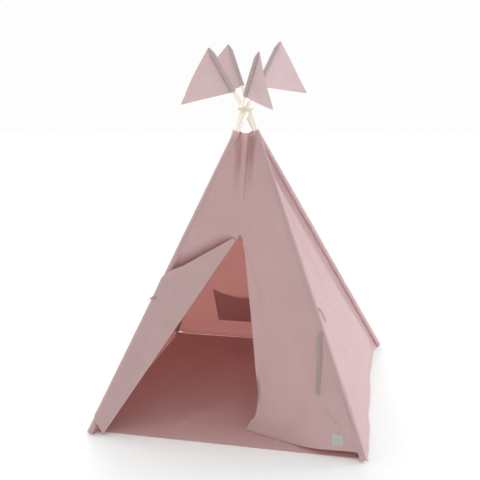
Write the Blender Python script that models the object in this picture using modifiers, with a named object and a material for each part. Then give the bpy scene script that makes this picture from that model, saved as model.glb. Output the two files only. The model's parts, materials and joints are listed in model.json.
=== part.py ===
"""Child's play teepee: four crossed poles, a sleeved cloth cover with a door, and a floor mat.

Metres, +Z up. The origin is the middle of the footprint, on the floor.
X runs to the right as one faces the door, and Y from the door to the back.
"""
import math

import bmesh
import bpy
import numpy as np
from mathutils import Matrix, Vector

# Frame of four poles
BASE_SIDE = 1.20             # between the poles' feet, along each side
CROSSING_HEIGHT = 1.365      # where the four poles cross
POLE_RADIUS = 0.012
POLE_TIP_ROUNDING = 0.004    # at the upper end
POLE_TOP_LENGTHS = {         # of each pole above the crossing
    "front_left": 0.340,
    "front_right": 0.334,
    "back_right": 0.316,
    "back_left": 0.290,
}
SEAT_GAP = 0.0003            # between pieces that touch

# Sleeves of the cover
SLEEVE_TOP_DROP = 0.097      # of their upper ends below the crossing
SLEEVE_TOP_ROOM = 0.0005     # round the pole, at the upper end
SLEEVE_FOOT_ROOM = 0.0050
SLEEVE_WALL = 0.0010
BARE_FOOT_LENGTH = 0.020     # of pole that shows below its sleeve

# Cloth of the cover
CLOTH = 0.0016
WALL_STAND_OUT = 0.004       # of the cloth from the poles' axes
HEM_HEIGHT = 0.004
TOP_HEM_DROP = 0.006         # below the sleeves' upper ends
WALL_SAG = 0.012             # inward, in the middle of a wall
FOLD_DEPTH = 0.009
FOLD_COUNT = 3
FOLD_SLANT_SHARE = 0.35      # of the wall's width that a fold drifts over its height

# Door in the front wall
SLIT_TOP_X = 0.018
SLIT_TOP_HEIGHT = 0.838
LEFT_STRIP_WIDTH = 0.064     # of wall left beside the left pole, at the hem
RIGHT_STRIP_WIDTH = 0.037
SLIT_FOOT_X = -0.020
FLAP_TOP_SHARE = 0.965       # of the fold line that a flap reaches up to
FLAP_CORNER_REST = 0.160     # how far in on the mat the right flap's corner lies
FLAP_EDGE_DRIFT = 0.111      # how far the right flap's loose edge is drawn to the side
# The right flap's loose edge, from the mat up: share of the slit's height, of the drift, of the rest
FLAP_EDGE_SHARES = (
    (0.000, 0.45, 1.00), (0.059, 0.72, 0.84), (0.086, 0.88, 0.75), (0.127, 0.96, 0.66),
    (0.180, 1.00, 0.56), (0.250, 0.98, 0.47), (0.330, 0.89, 0.37), (0.560, 0.66, 0.19),
    (0.760, 0.42, 0.07), (0.900, 0.25, 0.03), (1.000, 0.00, 0.00),
)
FLAP_WAVE = 0.010
FLAP_WAVE_COUNT = 1.25
FLAP_LOOSENESS = 0.0016      # of the folded flap round the sleeve
FLAP_BRIDGE = 0.045          # over which a wrapped flap comes down from the sleeve to the wall

# Floor mat
MAT_INSET = 0.008            # from the line between two feet
MAT_FRONT_INSET = 0.025
MAT_THICKNESS = 0.003
MAT_CORNER = 0.030

# Inner pocket on the back wall
POCKET_WIDTH = 0.345
POCKET_MIDDLE_X = -0.1425
POCKET_FOOT_HEIGHT = 0.115
POCKET_TOP_HEIGHT = 0.336
POCKET_DROOP = 0.028         # of its open edge, in the middle
POCKET_BELLY = 0.026         # inward from the wall
POCKET_ROUNDNESS = 0.7       # power of the sine that the belly follows: lower is fuller
POCKET_MARGIN = 0.090        # of flat wall round it

# Label on the right flap
LABEL_WIDTH = 0.048
LABEL_HEIGHT = 0.047
LABEL_THICKNESS = 0.0010
LABEL_INSET = 0.078          # of its middle from the fold line's foot
LABEL_FOOT_HEIGHT = 0.045

# Flags on the poles' upper ends
FLAG_SLEEVE_LENGTH = 0.215
FLAG_BORE_ROOM = 0.0004      # round the pole
FLAG_SLEEVE_WALL = 0.0011
FLAG_TOP_MARGIN = 0.004      # of its sleeve below the pole's end
FLAG_REACH = 0.235
FLAG_CORNER_REACH_SHARE = 0.98  # of the reach at which the blunt corner ends
FLAG_CORNER_SHARE = 0.46     # of the sleeve's length, up from its lower end
FLAG_CLOTH = 0.0012
FLAG_WAVE = 0.008
FLAG_WAVE_COUNT = 0.75
FLAG_TURNS = {               # degrees round the pole, from straight away from its foot
    "front_left": 0,
    "front_right": 32,
    "back_right": 0,
    "back_left": -9,
}

# Cord round the crossing
CORD_RADIUS = 0.00175
LASHING_TURNS = 3
LASHING_PITCH = 0.0042
KNOT_RADIUS = 0.0055
KNOT_TURN = -82              # degrees round the crossing
# Its loose ends: the way each leaves the knot, and its route from there
TAIL_ROUTES = {
    "lashing_tail_long": ((0, 0, -1), (
        (0.0000, 0.0002, -0.0004), (-0.0027, -0.0037, -0.0092), (-0.0097, -0.0067, -0.0242),
        (-0.0177, -0.0122, -0.0442), (-0.0257, -0.0217, -0.0632))),
    "lashing_tail_short": ((1, 0, 0), (
        (0.0001, 0.0002, 0.0000), (0.0065, -0.0012, -0.0020), (0.0125, -0.0032, -0.0120),
        (0.0115, -0.0042, -0.0250))),
}

# Ribbon ties
RIBBON_WIDTH = 0.012
RIBBON_THICKNESS = 0.0010
# On a pole: the pole, how high the ribbon is sewn on, the way its width runs, and its route
POLE_TIES = {
    "right_pole_tie": ("front_right", 0.4679, (1, 0, 0), (
        (0.0000, 0.0000, 0.0000), (-0.0070, -0.0196, -0.0250), (-0.0020, -0.0406, -0.0950),
        (-0.0030, -0.0616, -0.1550), (-0.0020, -0.0996, -0.2400))),
    "right_pole_tie_back": ("front_right", 0.5531, (0, 1, 0), (
        (0.0000, 0.0000, 0.0000), (0.0123, -0.0005, -0.0168), (0.0233, -0.0045, -0.0378),
        (0.0313, -0.0085, -0.0578))),
    "left_pole_tie": ("front_left", 0.5648, (0.37, 0.37, 0.85), (
        (0.0000, 0.0000, 0.0000), (-0.0090, 0.0000, 0.0020), (-0.0215, 0.0035, 0.0000),
        (-0.0340, 0.0100, -0.0080), (-0.0440, 0.0140, -0.0200))),
}
# Degrees round the pole, at which each is sewn on
TIE_TURNS = {"right_pole_tie": -39.7, "right_pole_tie_back": 40.4, "left_pole_tie": 59.9}
# On the right flap's loose edge: shares of the flap across and up, and how far off it the tie hangs
FLAP_TIE_SHARES = ((0.965, 0.300), (0.965, 0.262), (0.965, 0.219), (0.965, 0.172))
FLAP_TIE_HANG = (0.0000, 0.0010, 0.0030, 0.0060)
FLAP_TIE_STEP_SHARE = 0.02   # of the flap, over which the tie's width is laid along it

# How finely the shapes are divided
ROUND_STEPS = 16
TIP_ANGLES = (0, 30, 60)     # degrees, round a pole's end
ROUTE_STEPS = 4              # between two points of a route
CORD_RESOLUTION = 2
LASHING_RESOLUTION = 1
TURN_STEPS = 24              # in one turn of the lashing
KNOT_SEGMENTS = (12, 8)
BUNDLE_SAMPLES = 90
MAT_CORNER_STEPS = 3
RIBBON_COLUMNS = 2
WALL_GRID = (12, 14)         # columns and rows
STRIP_COLUMNS = 3
DOOR_ROWS = 9
UPPER_ROWS = 7
RIGHT_FLAP_GRID = (10, 14)
LEFT_FLAP_GRID = (11, 16)
TIP_GRID = (12, 12)
WRAP_COLUMNS = 4             # of a flap's columns that go round the sleeve
LOWER_ROWS_SHARE = 9 / 16    # of the left flap's rows below the bend in its loose edge
UPPER_ROWS_POWER = 2.5       # draws the rest of them toward that bend
LABEL_GRID = (3, 4)
POCKET_GRID = (12, 7)
FLAG_GRID = (9, 6)

UP = Vector((0, 0, 1))
CORNERS = {
    "front_left": (-1, -1),
    "front_right": (1, -1),
    "back_right": (1, 1),
    "back_left": (-1, 1),
}
# Each wall's poles, from its left to its right as seen from outside, and its outward way
WALLS = {
    "front": ("front_left", "front_right", Vector((0, -1, 0))),
    "right": ("front_right", "back_right", Vector((1, 0, 0))),
    "back": ("back_right", "back_left", Vector((0, 1, 0))),
    "left": ("back_left", "front_left", Vector((-1, 0, 0))),
}

HALF_BASE = BASE_SIDE / 2
SLEEVE_TOP_HEIGHT = CROSSING_HEIGHT - SLEEVE_TOP_DROP
SLEEVE_TOP_RADIUS = POLE_RADIUS + SLEEVE_TOP_ROOM + SLEEVE_WALL
SLEEVE_FOOT_RADIUS = POLE_RADIUS + SLEEVE_FOOT_ROOM + SLEEVE_WALL
TOP_HEM_HEIGHT = SLEEVE_TOP_HEIGHT - TOP_HEM_DROP
LEFT_FOLD_FOOT_X = HALF_BASE - LEFT_STRIP_WIDTH
RIGHT_FOLD_FOOT_X = HALF_BASE - RIGHT_STRIP_WIDTH
FLAP_WRAP = SLEEVE_FOOT_RADIUS
MAT_WIDTH = BASE_SIDE - 2 * MAT_INSET
MAT_DEPTH = BASE_SIDE - MAT_INSET - MAT_FRONT_INSET
POCKET_LEFT = POCKET_MIDDLE_X - POCKET_WIDTH / 2
POCKET_RIGHT = POCKET_MIDDLE_X + POCKET_WIDTH / 2
LABEL_MIDDLE_X = RIGHT_FOLD_FOOT_X - LABEL_INSET
FLAG_BORE_RADIUS = POLE_RADIUS + FLAG_BORE_ROOM
FLAG_SLEEVE_RADIUS = FLAG_BORE_RADIUS + FLAG_SLEEVE_WALL
WALL_SLOPE_LENGTH = math.hypot(CROSSING_HEIGHT, HALF_BASE)
POLE_SLOPE_LENGTH = math.hypot(CROSSING_HEIGHT, HALF_BASE * math.sqrt(2))
POLE_LEAN_COSINE = CROSSING_HEIGHT / POLE_SLOPE_LENGTH
# Each pole passes beside the middle, so that neighbours just touch
POLE_SIDE_STEP = ((2 * POLE_RADIUS + SEAT_GAP) * math.sqrt(1 + POLE_LEAN_COSINE ** 2)
                  / (2 * POLE_LEAN_COSINE))
CLOTH_LAYER = CLOTH + SEAT_GAP
LEAN_OF_WALL = HALF_BASE / CROSSING_HEIGHT


def material(name, colour, roughness):
    """Plain Principled material with an sRGB colour."""
    result = bpy.data.materials.new(name)
    result.use_nodes = True
    shader = result.node_tree.nodes["Principled BSDF"]
    linear = [((int(colour[i:i + 2], 16) / 255 + 0.055) / 1.055) ** 2.4 for i in (1, 3, 5)]
    shader.inputs["Base Color"].default_value = (*linear, 1)
    shader.inputs["Roughness"].default_value = roughness
    shader.inputs["Metallic"].default_value = 0
    return result


def smoothstep(x):
    """Ease from 0 to 1."""
    x = min(1, max(0, x))
    return x * x * (3 - 2 * x)


def smooth_route(start, offsets):
    """Points along a smooth curve through a route's own points, given from its start."""
    points = [start + Vector(offset) for offset in offsets]
    ends = [2 * points[0] - points[1]] + points + [2 * points[-1] - points[-2]]
    route = []
    for before, here, there, after in zip(ends, ends[1:], ends[2:], ends[3:]):
        for step in range(ROUTE_STEPS):
            t = step / ROUTE_STEPS
            bend = (2 * before - 5 * here + 4 * there - after) * t * t
            twist = (3 * here - before - 3 * there + after) * t ** 3
            route.append(here + ((there - before) * t + bend + twist) / 2)
    return route + [points[-1]]


def place(mesh, name, look, parent, matrix=None):
    """Object for a mesh in the parent empty's own frame."""
    result = bpy.data.objects.new(name, mesh)
    mesh.materials.clear()
    mesh.materials.append(look)
    PARTS.objects.link(result)
    result.parent = parent
    if matrix is not None:
        result.matrix_local = matrix
    return result


def pivot(name, location, parent=None):
    """Empty on a joint's axis, that carries one moving body."""
    result = bpy.data.objects.new(name, None)
    result.empty_display_size = POLE_RADIUS
    PARTS.objects.link(result)
    result.parent = parent
    offset = Vector(location)
    if parent is not None:
        offset -= PIVOT_PLACES[parent.name]
    result.location = offset
    PIVOT_PLACES[name] = Vector(location)
    return result


def turned(name, profile, look, parent, matrix):
    """Solid of revolution about its own Z, from a profile of (radius, height)."""
    mesh = bpy.data.meshes.new(name)
    mesh.from_pydata([(radius, 0, height) for radius, height in profile],
                     [(i, i + 1) for i in range(len(profile) - 1)], [])
    result = place(mesh, name, look, parent, matrix)
    screw = result.modifiers.new("turn", "SCREW")
    screw.steps = ROUND_STEPS
    screw.render_steps = ROUND_STEPS
    screw.use_merge_vertices = True
    screw.merge_threshold = SEAT_GAP / 10
    screw.use_smooth_shade = True
    return result


def cloth_sheet(name, grid, point, thickness, look, parent):
    """Closed sheet of cloth whose middle lies on point(across share, up share)."""
    columns, rows = grid
    shape = bmesh.new()
    bmesh.ops.create_grid(shape, x_segments=columns, y_segments=rows, size=1)
    origin = PIVOT_PLACES[parent.name]
    for vertex in shape.verts:
        vertex.co = point((vertex.co.x + 1) / 2, (vertex.co.y + 1) / 2) - origin
    mesh = bpy.data.meshes.new(name)
    shape.to_mesh(mesh)
    shape.free()
    mesh.shade_smooth()
    result = place(mesh, name, look, parent)
    thicken(result, thickness)
    return result


def thicken(sheet, thickness):
    """Even wall to both sides of a sheet."""
    shell = sheet.modifiers.new("cloth", "SOLIDIFY")
    shell.thickness = thickness
    shell.offset = 0
    shell.use_even_offset = False


def ribbon(name, points, width_way, look, parent):
    """Flat ribbon along ready points, with its width along one direction."""
    half = Vector(width_way).normalized() * (RIBBON_WIDTH / 2)

    def point(across, along):
        spot = along * (len(points) - 1)
        start = min(int(spot), len(points) - 2)
        return points[start].lerp(points[start + 1], spot - start) + half * (2 * across - 1)

    grid = (RIBBON_COLUMNS, len(points) - 1)
    return cloth_sheet(name, grid, point, RIBBON_THICKNESS, look, parent)


def cord(name, points, look, parent, resolution):
    """Round cord along ready points, closed at both ends."""
    curve = bpy.data.curves.new(name, "CURVE")
    curve.dimensions = "3D"
    curve.bevel_depth = CORD_RADIUS
    curve.bevel_resolution = resolution
    curve.use_fill_caps = True
    spline = curve.splines.new("POLY")
    spline.points.add(len(points) - 1)
    origin = PIVOT_PLACES[parent.name]
    for spot, point in zip(spline.points, points):
        spot.co = (*(point - origin), 1)
    curve.materials.append(look)
    result = bpy.data.objects.new(name, curve)
    PARTS.objects.link(result)
    result.parent = parent
    return result


class Pole:
    """Axis of one pole and the frame that its pieces are made in."""

    def __init__(self, corner):
        sx, sy = CORNERS[corner]
        self.corner = corner
        self.toward_foot = Vector((sx, sy, 0)).normalized()
        self.hinge_axis = UP.cross(self.toward_foot)
        self.foot = Vector((sx, sy, 0)) * HALF_BASE
        self.crossing = UP * CROSSING_HEIGHT + self.hinge_axis * POLE_SIDE_STEP
        self.upward = (self.crossing - self.foot).normalized()
        self.length_below = (self.crossing - self.foot).length
        self.top_length = POLE_TOP_LENGTHS[corner]
        side = self.hinge_axis.cross(self.upward).normalized()
        level = self.upward.cross(side)
        self.frame = Matrix((side, level, self.upward)).transposed().to_4x4()

    def at_height(self, height):
        """Point of the axis at a height over the floor."""
        return self.foot.lerp(self.crossing, height / CROSSING_HEIGHT)

    def beside_sleeve(self, height, turn, layers):
        """Point off the sleeve at a height, turned round the axis, over so thick a layer."""
        level, side = self.frame.col[1].to_3d(), self.frame.col[0].to_3d()
        out = side * math.cos(math.radians(turn)) + level * math.sin(math.radians(turn))
        return self.at_height(height) + out * (self.sleeve_radius(height) + layers)

    def sleeve_radius(self, height):
        """Outer radius of the cover's sleeve round this pole."""
        share = height / SLEEVE_TOP_HEIGHT
        return SLEEVE_FOOT_RADIUS + (SLEEVE_TOP_RADIUS - SLEEVE_FOOT_RADIUS) * share

    def reach(self, level_way, stand_out, radius):
        """Distance along a way at which a line that stands out from the axis is that far off it."""
        along = level_way.dot(self.upward)
        slant = stand_out.dot(self.upward)
        a = 1 - along ** 2
        b = stand_out.dot(level_way) - along * slant
        c = stand_out.length_squared - slant ** 2 - radius ** 2
        return (-b + math.sqrt(b * b - a * c)) / a


class Wall:
    """Cloth between two poles' sleeves, as a surface that pieces lie on."""

    def __init__(self, side):
        left, right, self.outward = WALLS[side]
        self.left = POLES[left]
        self.right = POLES[right]
        self.normal = (self.outward + UP * LEAN_OF_WALL).normalized()

    def edges(self, height):
        """Where the cloth's middle meets the two sleeves at a height."""
        start = self.left.at_height(height)
        stop = self.right.at_height(height)
        way = (stop - start).normalized()
        nearer = self.normal * (WALL_STAND_OUT - CLOTH / 2)
        out = self.normal * WALL_STAND_OUT
        from_left = self.left.reach(way, nearer, self.left.sleeve_radius(height) + SEAT_GAP)
        from_right = self.right.reach(-way, nearer, self.right.sleeve_radius(height) + SEAT_GAP)
        return start + out + way * from_left, stop + out - way * from_right

    def fold(self, across, height):
        """How far the cloth hangs in from flat, none at its sleeves."""
        up = (height - HEM_HEIGHT) / (TOP_HEM_HEIGHT - HEM_HEIGHT)
        span = math.sin(math.pi * min(1, max(0, across)))
        phase = FOLD_COUNT * (across + FOLD_SLANT_SHARE * (up - 1 / 2))
        wave = (1 - math.cos(2 * math.pi * phase)) / 2
        taper = 1 - smoothstep(up) / 2
        sag = WALL_SAG * span * math.sin(math.pi * min(1, max(0, up)))
        return sag + FOLD_DEPTH * span * span * wave * taper

    def point(self, across, height, lift=0, folded=1):
        """Point of the cloth's middle, lifted outward by a distance."""
        start, stop = self.edges(height)
        flat = start.lerp(stop, across)
        return flat + self.normal * (lift - folded * self.fold(across, height))

    def share_at(self, distance, height):
        """Share of the width at a distance along the wall from its middle, left to right."""
        start, stop = self.edges(height)
        way = UP.cross(self.outward)
        low = start.dot(way)
        return (distance - low) / (stop.dot(way) - low)


def add_pole(pole, parent):
    """Round wooden pole with a domed foot that touches the floor."""
    foot_middle = -(pole.length_below - POLE_RADIUS / POLE_LEAN_COSINE)
    top = pole.top_length
    arc = [math.radians(angle) for angle in TIP_ANGLES]
    rounding = POLE_TIP_ROUNDING
    profile = [(0, top)]
    profile += [(POLE_RADIUS - rounding + rounding * math.sin(a), top - rounding * (1 - math.cos(a)))
                for a in arc]
    profile += [(POLE_RADIUS, top - rounding), (POLE_RADIUS, foot_middle)]
    profile += [(POLE_RADIUS * math.cos(a), foot_middle - POLE_RADIUS * math.sin(a))
                for a in arc[1:]]
    profile += [(0, foot_middle - POLE_RADIUS)]
    turned(f"pole_{pole.corner}", profile, WOOD, parent, pole.frame)


def add_sleeve(pole, parent):
    """Cloth tube round the pole, wider toward the foot."""
    top = (SLEEVE_TOP_HEIGHT - CROSSING_HEIGHT) / POLE_LEAN_COSINE
    foot = BARE_FOOT_LENGTH - pole.length_below
    top_bore = SLEEVE_TOP_RADIUS - SLEEVE_WALL
    foot_bore = SLEEVE_FOOT_RADIUS - SLEEVE_WALL
    profile = [(top_bore, top), (SLEEVE_TOP_RADIUS, top), (SLEEVE_FOOT_RADIUS, foot),
               (foot_bore, foot), (top_bore, top)]
    turned(f"sleeve_{pole.corner}", profile, COVER_CLOTH, parent, pole.frame)


def add_flag(pole, parent, flag_number):
    """Pennant with its own sleeve round the pole's upper end, hanging below it."""
    top = pole.top_length - FLAG_TOP_MARGIN
    foot = top - FLAG_SLEEVE_LENGTH
    profile = [(FLAG_BORE_RADIUS, top), (FLAG_SLEEVE_RADIUS, top), (FLAG_SLEEVE_RADIUS, foot),
               (FLAG_BORE_RADIUS, foot), (FLAG_BORE_RADIUS, top)]
    name = f"flag_{pole.corner}"
    frame = pole.frame.copy()
    frame.translation = -pole.upward * (top + foot) / 2
    tube = turned(name, profile, FLAG_CLOTH_LOOK, parent, frame)

    hanging = -pole.toward_foot
    hanging = (hanging - pole.upward * hanging.dot(pole.upward)).normalized()
    hanging = Matrix.Rotation(math.radians(FLAG_TURNS[pole.corner]), 3, pole.upward) @ hanging
    sideways = pole.upward.cross(hanging)
    root = (FLAG_BORE_RADIUS + FLAG_SLEEVE_RADIUS) / 2
    half = FLAG_SLEEVE_LENGTH / 2
    end = half - FLAG_CLOTH
    corner = FLAG_CORNER_SHARE * FLAG_SLEEVE_LENGTH - half
    origin = PIVOT_PLACES[parent.name]

    def point(across, along):
        """Pennant from its root at the sleeve to its free corner."""
        out = across * FLAG_CORNER_REACH_SHARE
        edge = end * (2 * along - 1)
        wave = math.sin(2 * math.pi * FLAG_WAVE_COUNT * across + flag_number)
        ripple = FLAG_WAVE * (wave - math.sin(flag_number)) * across
        return (origin + hanging * (root + out * FLAG_REACH) + sideways * ripple
                + pole.upward * (edge + (corner - edge) * out))

    pennant = cloth_sheet(f"{name}_cloth", FLAG_GRID, point, FLAG_CLOTH, FLAG_CLOTH_LOOK, parent)
    PARTS.objects.unlink(pennant)
    CUTTERS.objects.link(pennant)
    pennant.hide_render = True
    pennant.display_type = "WIRE"
    join = tube.modifiers.new("sewn on", "BOOLEAN")
    join.operation = "UNION"
    join.solver = "EXACT"
    join.object = pennant


def beyond_pocket(x, height):
    """How folded the back wall may be: flat behind the pocket, full away from it."""
    beside = max(POCKET_LEFT - x, x - POCKET_RIGHT, 0)
    above = max(POCKET_FOOT_HEIGHT - height, height - POCKET_TOP_HEIGHT, 0)
    return smoothstep(math.hypot(beside, above) / POCKET_MARGIN - 1)


def add_side_wall(side, parent):
    """Cloth wall between two sleeves."""
    wall = SURFACES[side]

    def point(across, up):
        height = HEM_HEIGHT + (TOP_HEM_HEIGHT - HEM_HEIGHT) * up
        folded = beyond_pocket(wall.point(across, height).x, height) if side == "back" else 1
        return wall.point(across, height, 0, folded)

    cloth_sheet(f"{side}_wall", WALL_GRID, point, CLOTH, COVER_CLOTH, parent)


def fold_line(foot_x, share):
    """Distance along the front and height of a door flap's fold line, from hem to slit top."""
    height = HEM_HEIGHT + (SLIT_TOP_HEIGHT - HEM_HEIGHT) * share
    return foot_x + (SLIT_TOP_X - foot_x) * share, height


def add_front_wall(parent):
    """Front cloth with a tall triangular door: a panel over the slit and a strip down each pole."""
    wall = SURFACES["front"]
    origin = PIVOT_PLACES[parent.name]

    def half(shape, foot_x, left):
        """One half of the wall, from its sleeve in to the door or to the middle line."""
        grid = []
        for row in range(DOOR_ROWS + UPPER_ROWS + 1):
            if row <= DOOR_ROWS:
                inner_x, height = fold_line(foot_x, row / DOOR_ROWS)
                folded = 0
            else:
                share = (row - DOOR_ROWS) / UPPER_ROWS
                height = SLIT_TOP_HEIGHT + (TOP_HEM_HEIGHT - SLIT_TOP_HEIGHT) * share
                inner_x = SLIT_TOP_X * (1 - share)
                folded = smoothstep(2 * share)
            inner = wall.share_at(inner_x, height)
            outer = 0 if left else 1
            line = []
            for column in range(STRIP_COLUMNS + 1):
                across = outer + (inner - outer) * column / STRIP_COLUMNS
                line.append(shape.verts.new(wall.point(across, height, 0, folded) - origin))
            grid.append(line)
        for low, high in zip(grid, grid[1:]):
            for i in range(STRIP_COLUMNS):
                corners = [low[i], low[i + 1], high[i + 1], high[i]]
                shape.faces.new(corners if left else corners[::-1])

    shape = bmesh.new()
    half(shape, -LEFT_FOLD_FOOT_X, True)
    half(shape, RIGHT_FOLD_FOOT_X, False)
    bmesh.ops.remove_doubles(shape, verts=shape.verts, dist=SEAT_GAP / 10)
    mesh = bpy.data.meshes.new("front_wall")
    shape.to_mesh(mesh)
    shape.free()
    mesh.shade_smooth()
    thicken(place(mesh, "front_wall", COVER_CLOTH, parent), CLOTH)


def right_flap_point(across, up, lift=0):
    """Right flap from its fold line (0) to its loose edge (1), its corner drawn in on the mat."""
    front = SURFACES["front"]
    share = up * FLAP_TOP_SHARE
    fold_x, fold_height = fold_line(RIGHT_FOLD_FOOT_X, share)
    fold_x -= SEAT_GAP + CLOTH / 2
    root = front.point(front.share_at(fold_x, fold_height), fold_height, 0, 0)
    heights, drifts, rests = zip(*FLAP_EDGE_SHARES)
    edge_x = SLIT_TOP_X + FLAP_EDGE_DRIFT * float(np.interp(share, heights, drifts))
    drawn_in = FLAP_CORNER_REST * float(np.interp(share, heights, rests))
    edge = front.point(front.share_at(edge_x, fold_height), fold_height, 0, 0)
    spot = root.lerp(edge, across) + Vector((0, drawn_in * across ** 2 * (2 - across), 0))
    loose = math.sin(math.pi * across) * (1 - share)
    wave = FLAP_WAVE * loose * math.sin(math.pi * (2 * FLAP_WAVE_COUNT * across + share))
    spot = spot + front.normal * (lift + wave)
    rest = MAT_THICKNESS + 2 * SEAT_GAP
    spot.z = max(spot.z, rest)
    return spot


def add_right_flap(parent):
    """Closed door flap, its lower corner lying in on the mat."""
    cloth_sheet("right_flap", RIGHT_FLAP_GRID, right_flap_point, CLOTH, COVER_CLOTH, parent)


def add_label(parent):
    """Bare cloth label on the right flap's outer face, near the pole."""
    half_width = LABEL_WIDTH / 2
    lift = CLOTH / 2 + LABEL_THICKNESS / 2 + 3 * SEAT_GAP

    def point(across, up):
        height = LABEL_FOOT_HEIGHT + LABEL_HEIGHT * up
        share = (height - HEM_HEIGHT) / (SLIT_TOP_HEIGHT - HEM_HEIGHT)
        fold_x = fold_line(RIGHT_FOLD_FOOT_X, share)[0]
        edge_x = right_flap_point(1, share / FLAP_TOP_SHARE).x
        x = LABEL_MIDDLE_X + half_width * (2 * across - 1)
        return right_flap_point((fold_x - x) / (fold_x - edge_x), share / FLAP_TOP_SHARE, lift)

    cloth_sheet("label_patch", LABEL_GRID, point, LABEL_THICKNESS, LABEL_CLOTH, parent)


class FoldedFlap:
    """Left door flap folded back along its fold line, then round the sleeve onto the left wall."""

    def __init__(self):
        self.pole = POLES["front_left"]
        self.faces = {}
        for name, level in (("front", Vector((1, 0, 0))), ("left", Vector((0, 1, 0)))):
            wall = SURFACES[name]
            along = (level - self.pole.upward * level.dot(self.pole.upward)).normalized()
            normal = along.cross(self.pole.upward).normalized()
            if normal.dot(wall.normal) < 0:
                normal = -normal
            self.faces[name] = (wall, along, normal)
        self.turn = self.faces["front"][2].angle(self.faces["left"][2])
        # Flat cloth is laid out in the front wall's plane: distance along the hem from the
        # pole's foot, and distance up the slope
        self.along_pole = Vector((HALF_BASE, WALL_SLOPE_LENGTH)).normalized()
        self.across_pole = Vector((self.along_pole.y, -self.along_pole.x))
        slope = WALL_SLOPE_LENGTH / CROSSING_HEIGHT
        self.slit_top = Vector((HALF_BASE + SLIT_TOP_X, SLIT_TOP_HEIGHT * slope))
        self.fold_foot = Vector((HALF_BASE - LEFT_FOLD_FOOT_X, HEM_HEIGHT * slope))
        corner = Vector((HALF_BASE + SLIT_FOOT_X, HEM_HEIGHT * slope))
        fold_way = (self.slit_top - self.fold_foot).normalized()
        offset = corner - self.fold_foot
        self.corner = self.fold_foot + fold_way * (2 * offset.dot(fold_way)) - offset
        self.edge_bend = self.meet(self.slit_top, self.corner)
        self.hem_bend = self.meet(self.fold_foot, self.corner)

    def meet(self, start, stop):
        """Flat point where a line crosses the pole's axis."""
        before = start.dot(self.across_pole)
        after = stop.dot(self.across_pole)
        return start.lerp(stop, before / (before - after))

    def spot(self, flat, lift=0):
        """Point in space of a flat point of the cloth, wrapped over the sleeve."""
        off = flat.dot(self.across_pole)
        name = "front" if off > 0 else "left"
        wall, along, normal = self.faces[name]
        distance = abs(off)
        level = HALF_BASE - flat.dot(self.along_pole) * self.along_pole.x
        level -= distance * self.across_pole.x
        rise = flat.dot(self.along_pole) * self.along_pole.y + distance * self.across_pole.y
        height = rise * CROSSING_HEIGHT / WALL_SLOPE_LENGTH
        side = 1 if name == "left" else -1
        lying = wall.point(wall.share_at(side * level, height), height, CLOTH_LAYER + lift, 0)
        pole_height = flat.dot(self.along_pole) * POLE_LEAN_COSINE
        radius = self.pole.sleeve_radius(pole_height) + FLAP_LOOSENESS + CLOTH / 2 + lift
        arc = radius * self.turn / 2
        axis = self.pole.at_height(pole_height)
        if distance < arc:
            middle = (self.faces["front"][2] + self.faces["left"][2]).normalized()
            aside = (along - middle * along.dot(middle)).normalized()
            bow = distance / radius
            return axis + radius * (middle * math.cos(bow) + aside * math.sin(bow))
        bridging = axis + normal * radius + along * (distance - arc)
        return bridging.lerp(lying, smoothstep((distance - arc) / FLAP_BRIDGE))


def add_left_flap(flap, parent):
    """Flap's part on the front, from its fold line out over the sleeve."""
    below = (flap.edge_bend - flap.hem_bend).length
    above = (flap.slit_top - flap.edge_bend).length
    bend_share = below / (below + above)
    columns = LEFT_FLAP_GRID[0]

    def point(across, up):
        # Rows lie closer together where the loose edge leaves the sleeve
        if up < LOWER_ROWS_SHARE:
            share = bend_share * up / LOWER_ROWS_SHARE
        else:
            beyond = (up - LOWER_ROWS_SHARE) / (1 - LOWER_ROWS_SHARE)
            share = bend_share + (FLAP_TOP_SHARE - bend_share) * beyond ** UPPER_ROWS_POWER
        fold = flap.fold_foot.lerp(flap.slit_top, share)
        if share < bend_share:
            outer = flap.hem_bend.lerp(flap.edge_bend, share / bend_share)
        else:
            outer = flap.edge_bend.lerp(flap.slit_top, (share - bend_share) / (1 - bend_share))
        outer = outer + flap.across_pole * SEAT_GAP
        width = (fold - outer).length
        wrap = min(FLAP_WRAP, width / 2)
        step = across * columns
        if step < WRAP_COLUMNS:
            return flap.spot(outer.lerp(fold, wrap * step / WRAP_COLUMNS / width))
        rest = (step - WRAP_COLUMNS) / (columns - WRAP_COLUMNS)
        return flap.spot(outer.lerp(fold, (wrap + (width - wrap) * rest) / width))

    cloth_sheet("left_flap", LEFT_FLAP_GRID, point, CLOTH, COVER_CLOTH, parent)


def add_left_flap_tip(flap, parent):
    """Flap's corner, from the sleeve round onto the left wall."""
    columns = TIP_GRID[0]

    def point(across, up):
        root = flap.hem_bend.lerp(flap.edge_bend, up) - flap.across_pole * SEAT_GAP
        width = (flap.corner - root).length
        step = across * columns
        if step < WRAP_COLUMNS:
            share = FLAP_WRAP * step / WRAP_COLUMNS / width
        else:
            rest = (step - WRAP_COLUMNS) / (columns - WRAP_COLUMNS)
            share = (FLAP_WRAP + (width * FLAP_TOP_SHARE - FLAP_WRAP) * rest) / width
        return flap.spot(root.lerp(flap.corner, share))

    cloth_sheet("left_flap_tip", TIP_GRID, point, CLOTH, COVER_CLOTH, parent)


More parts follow.
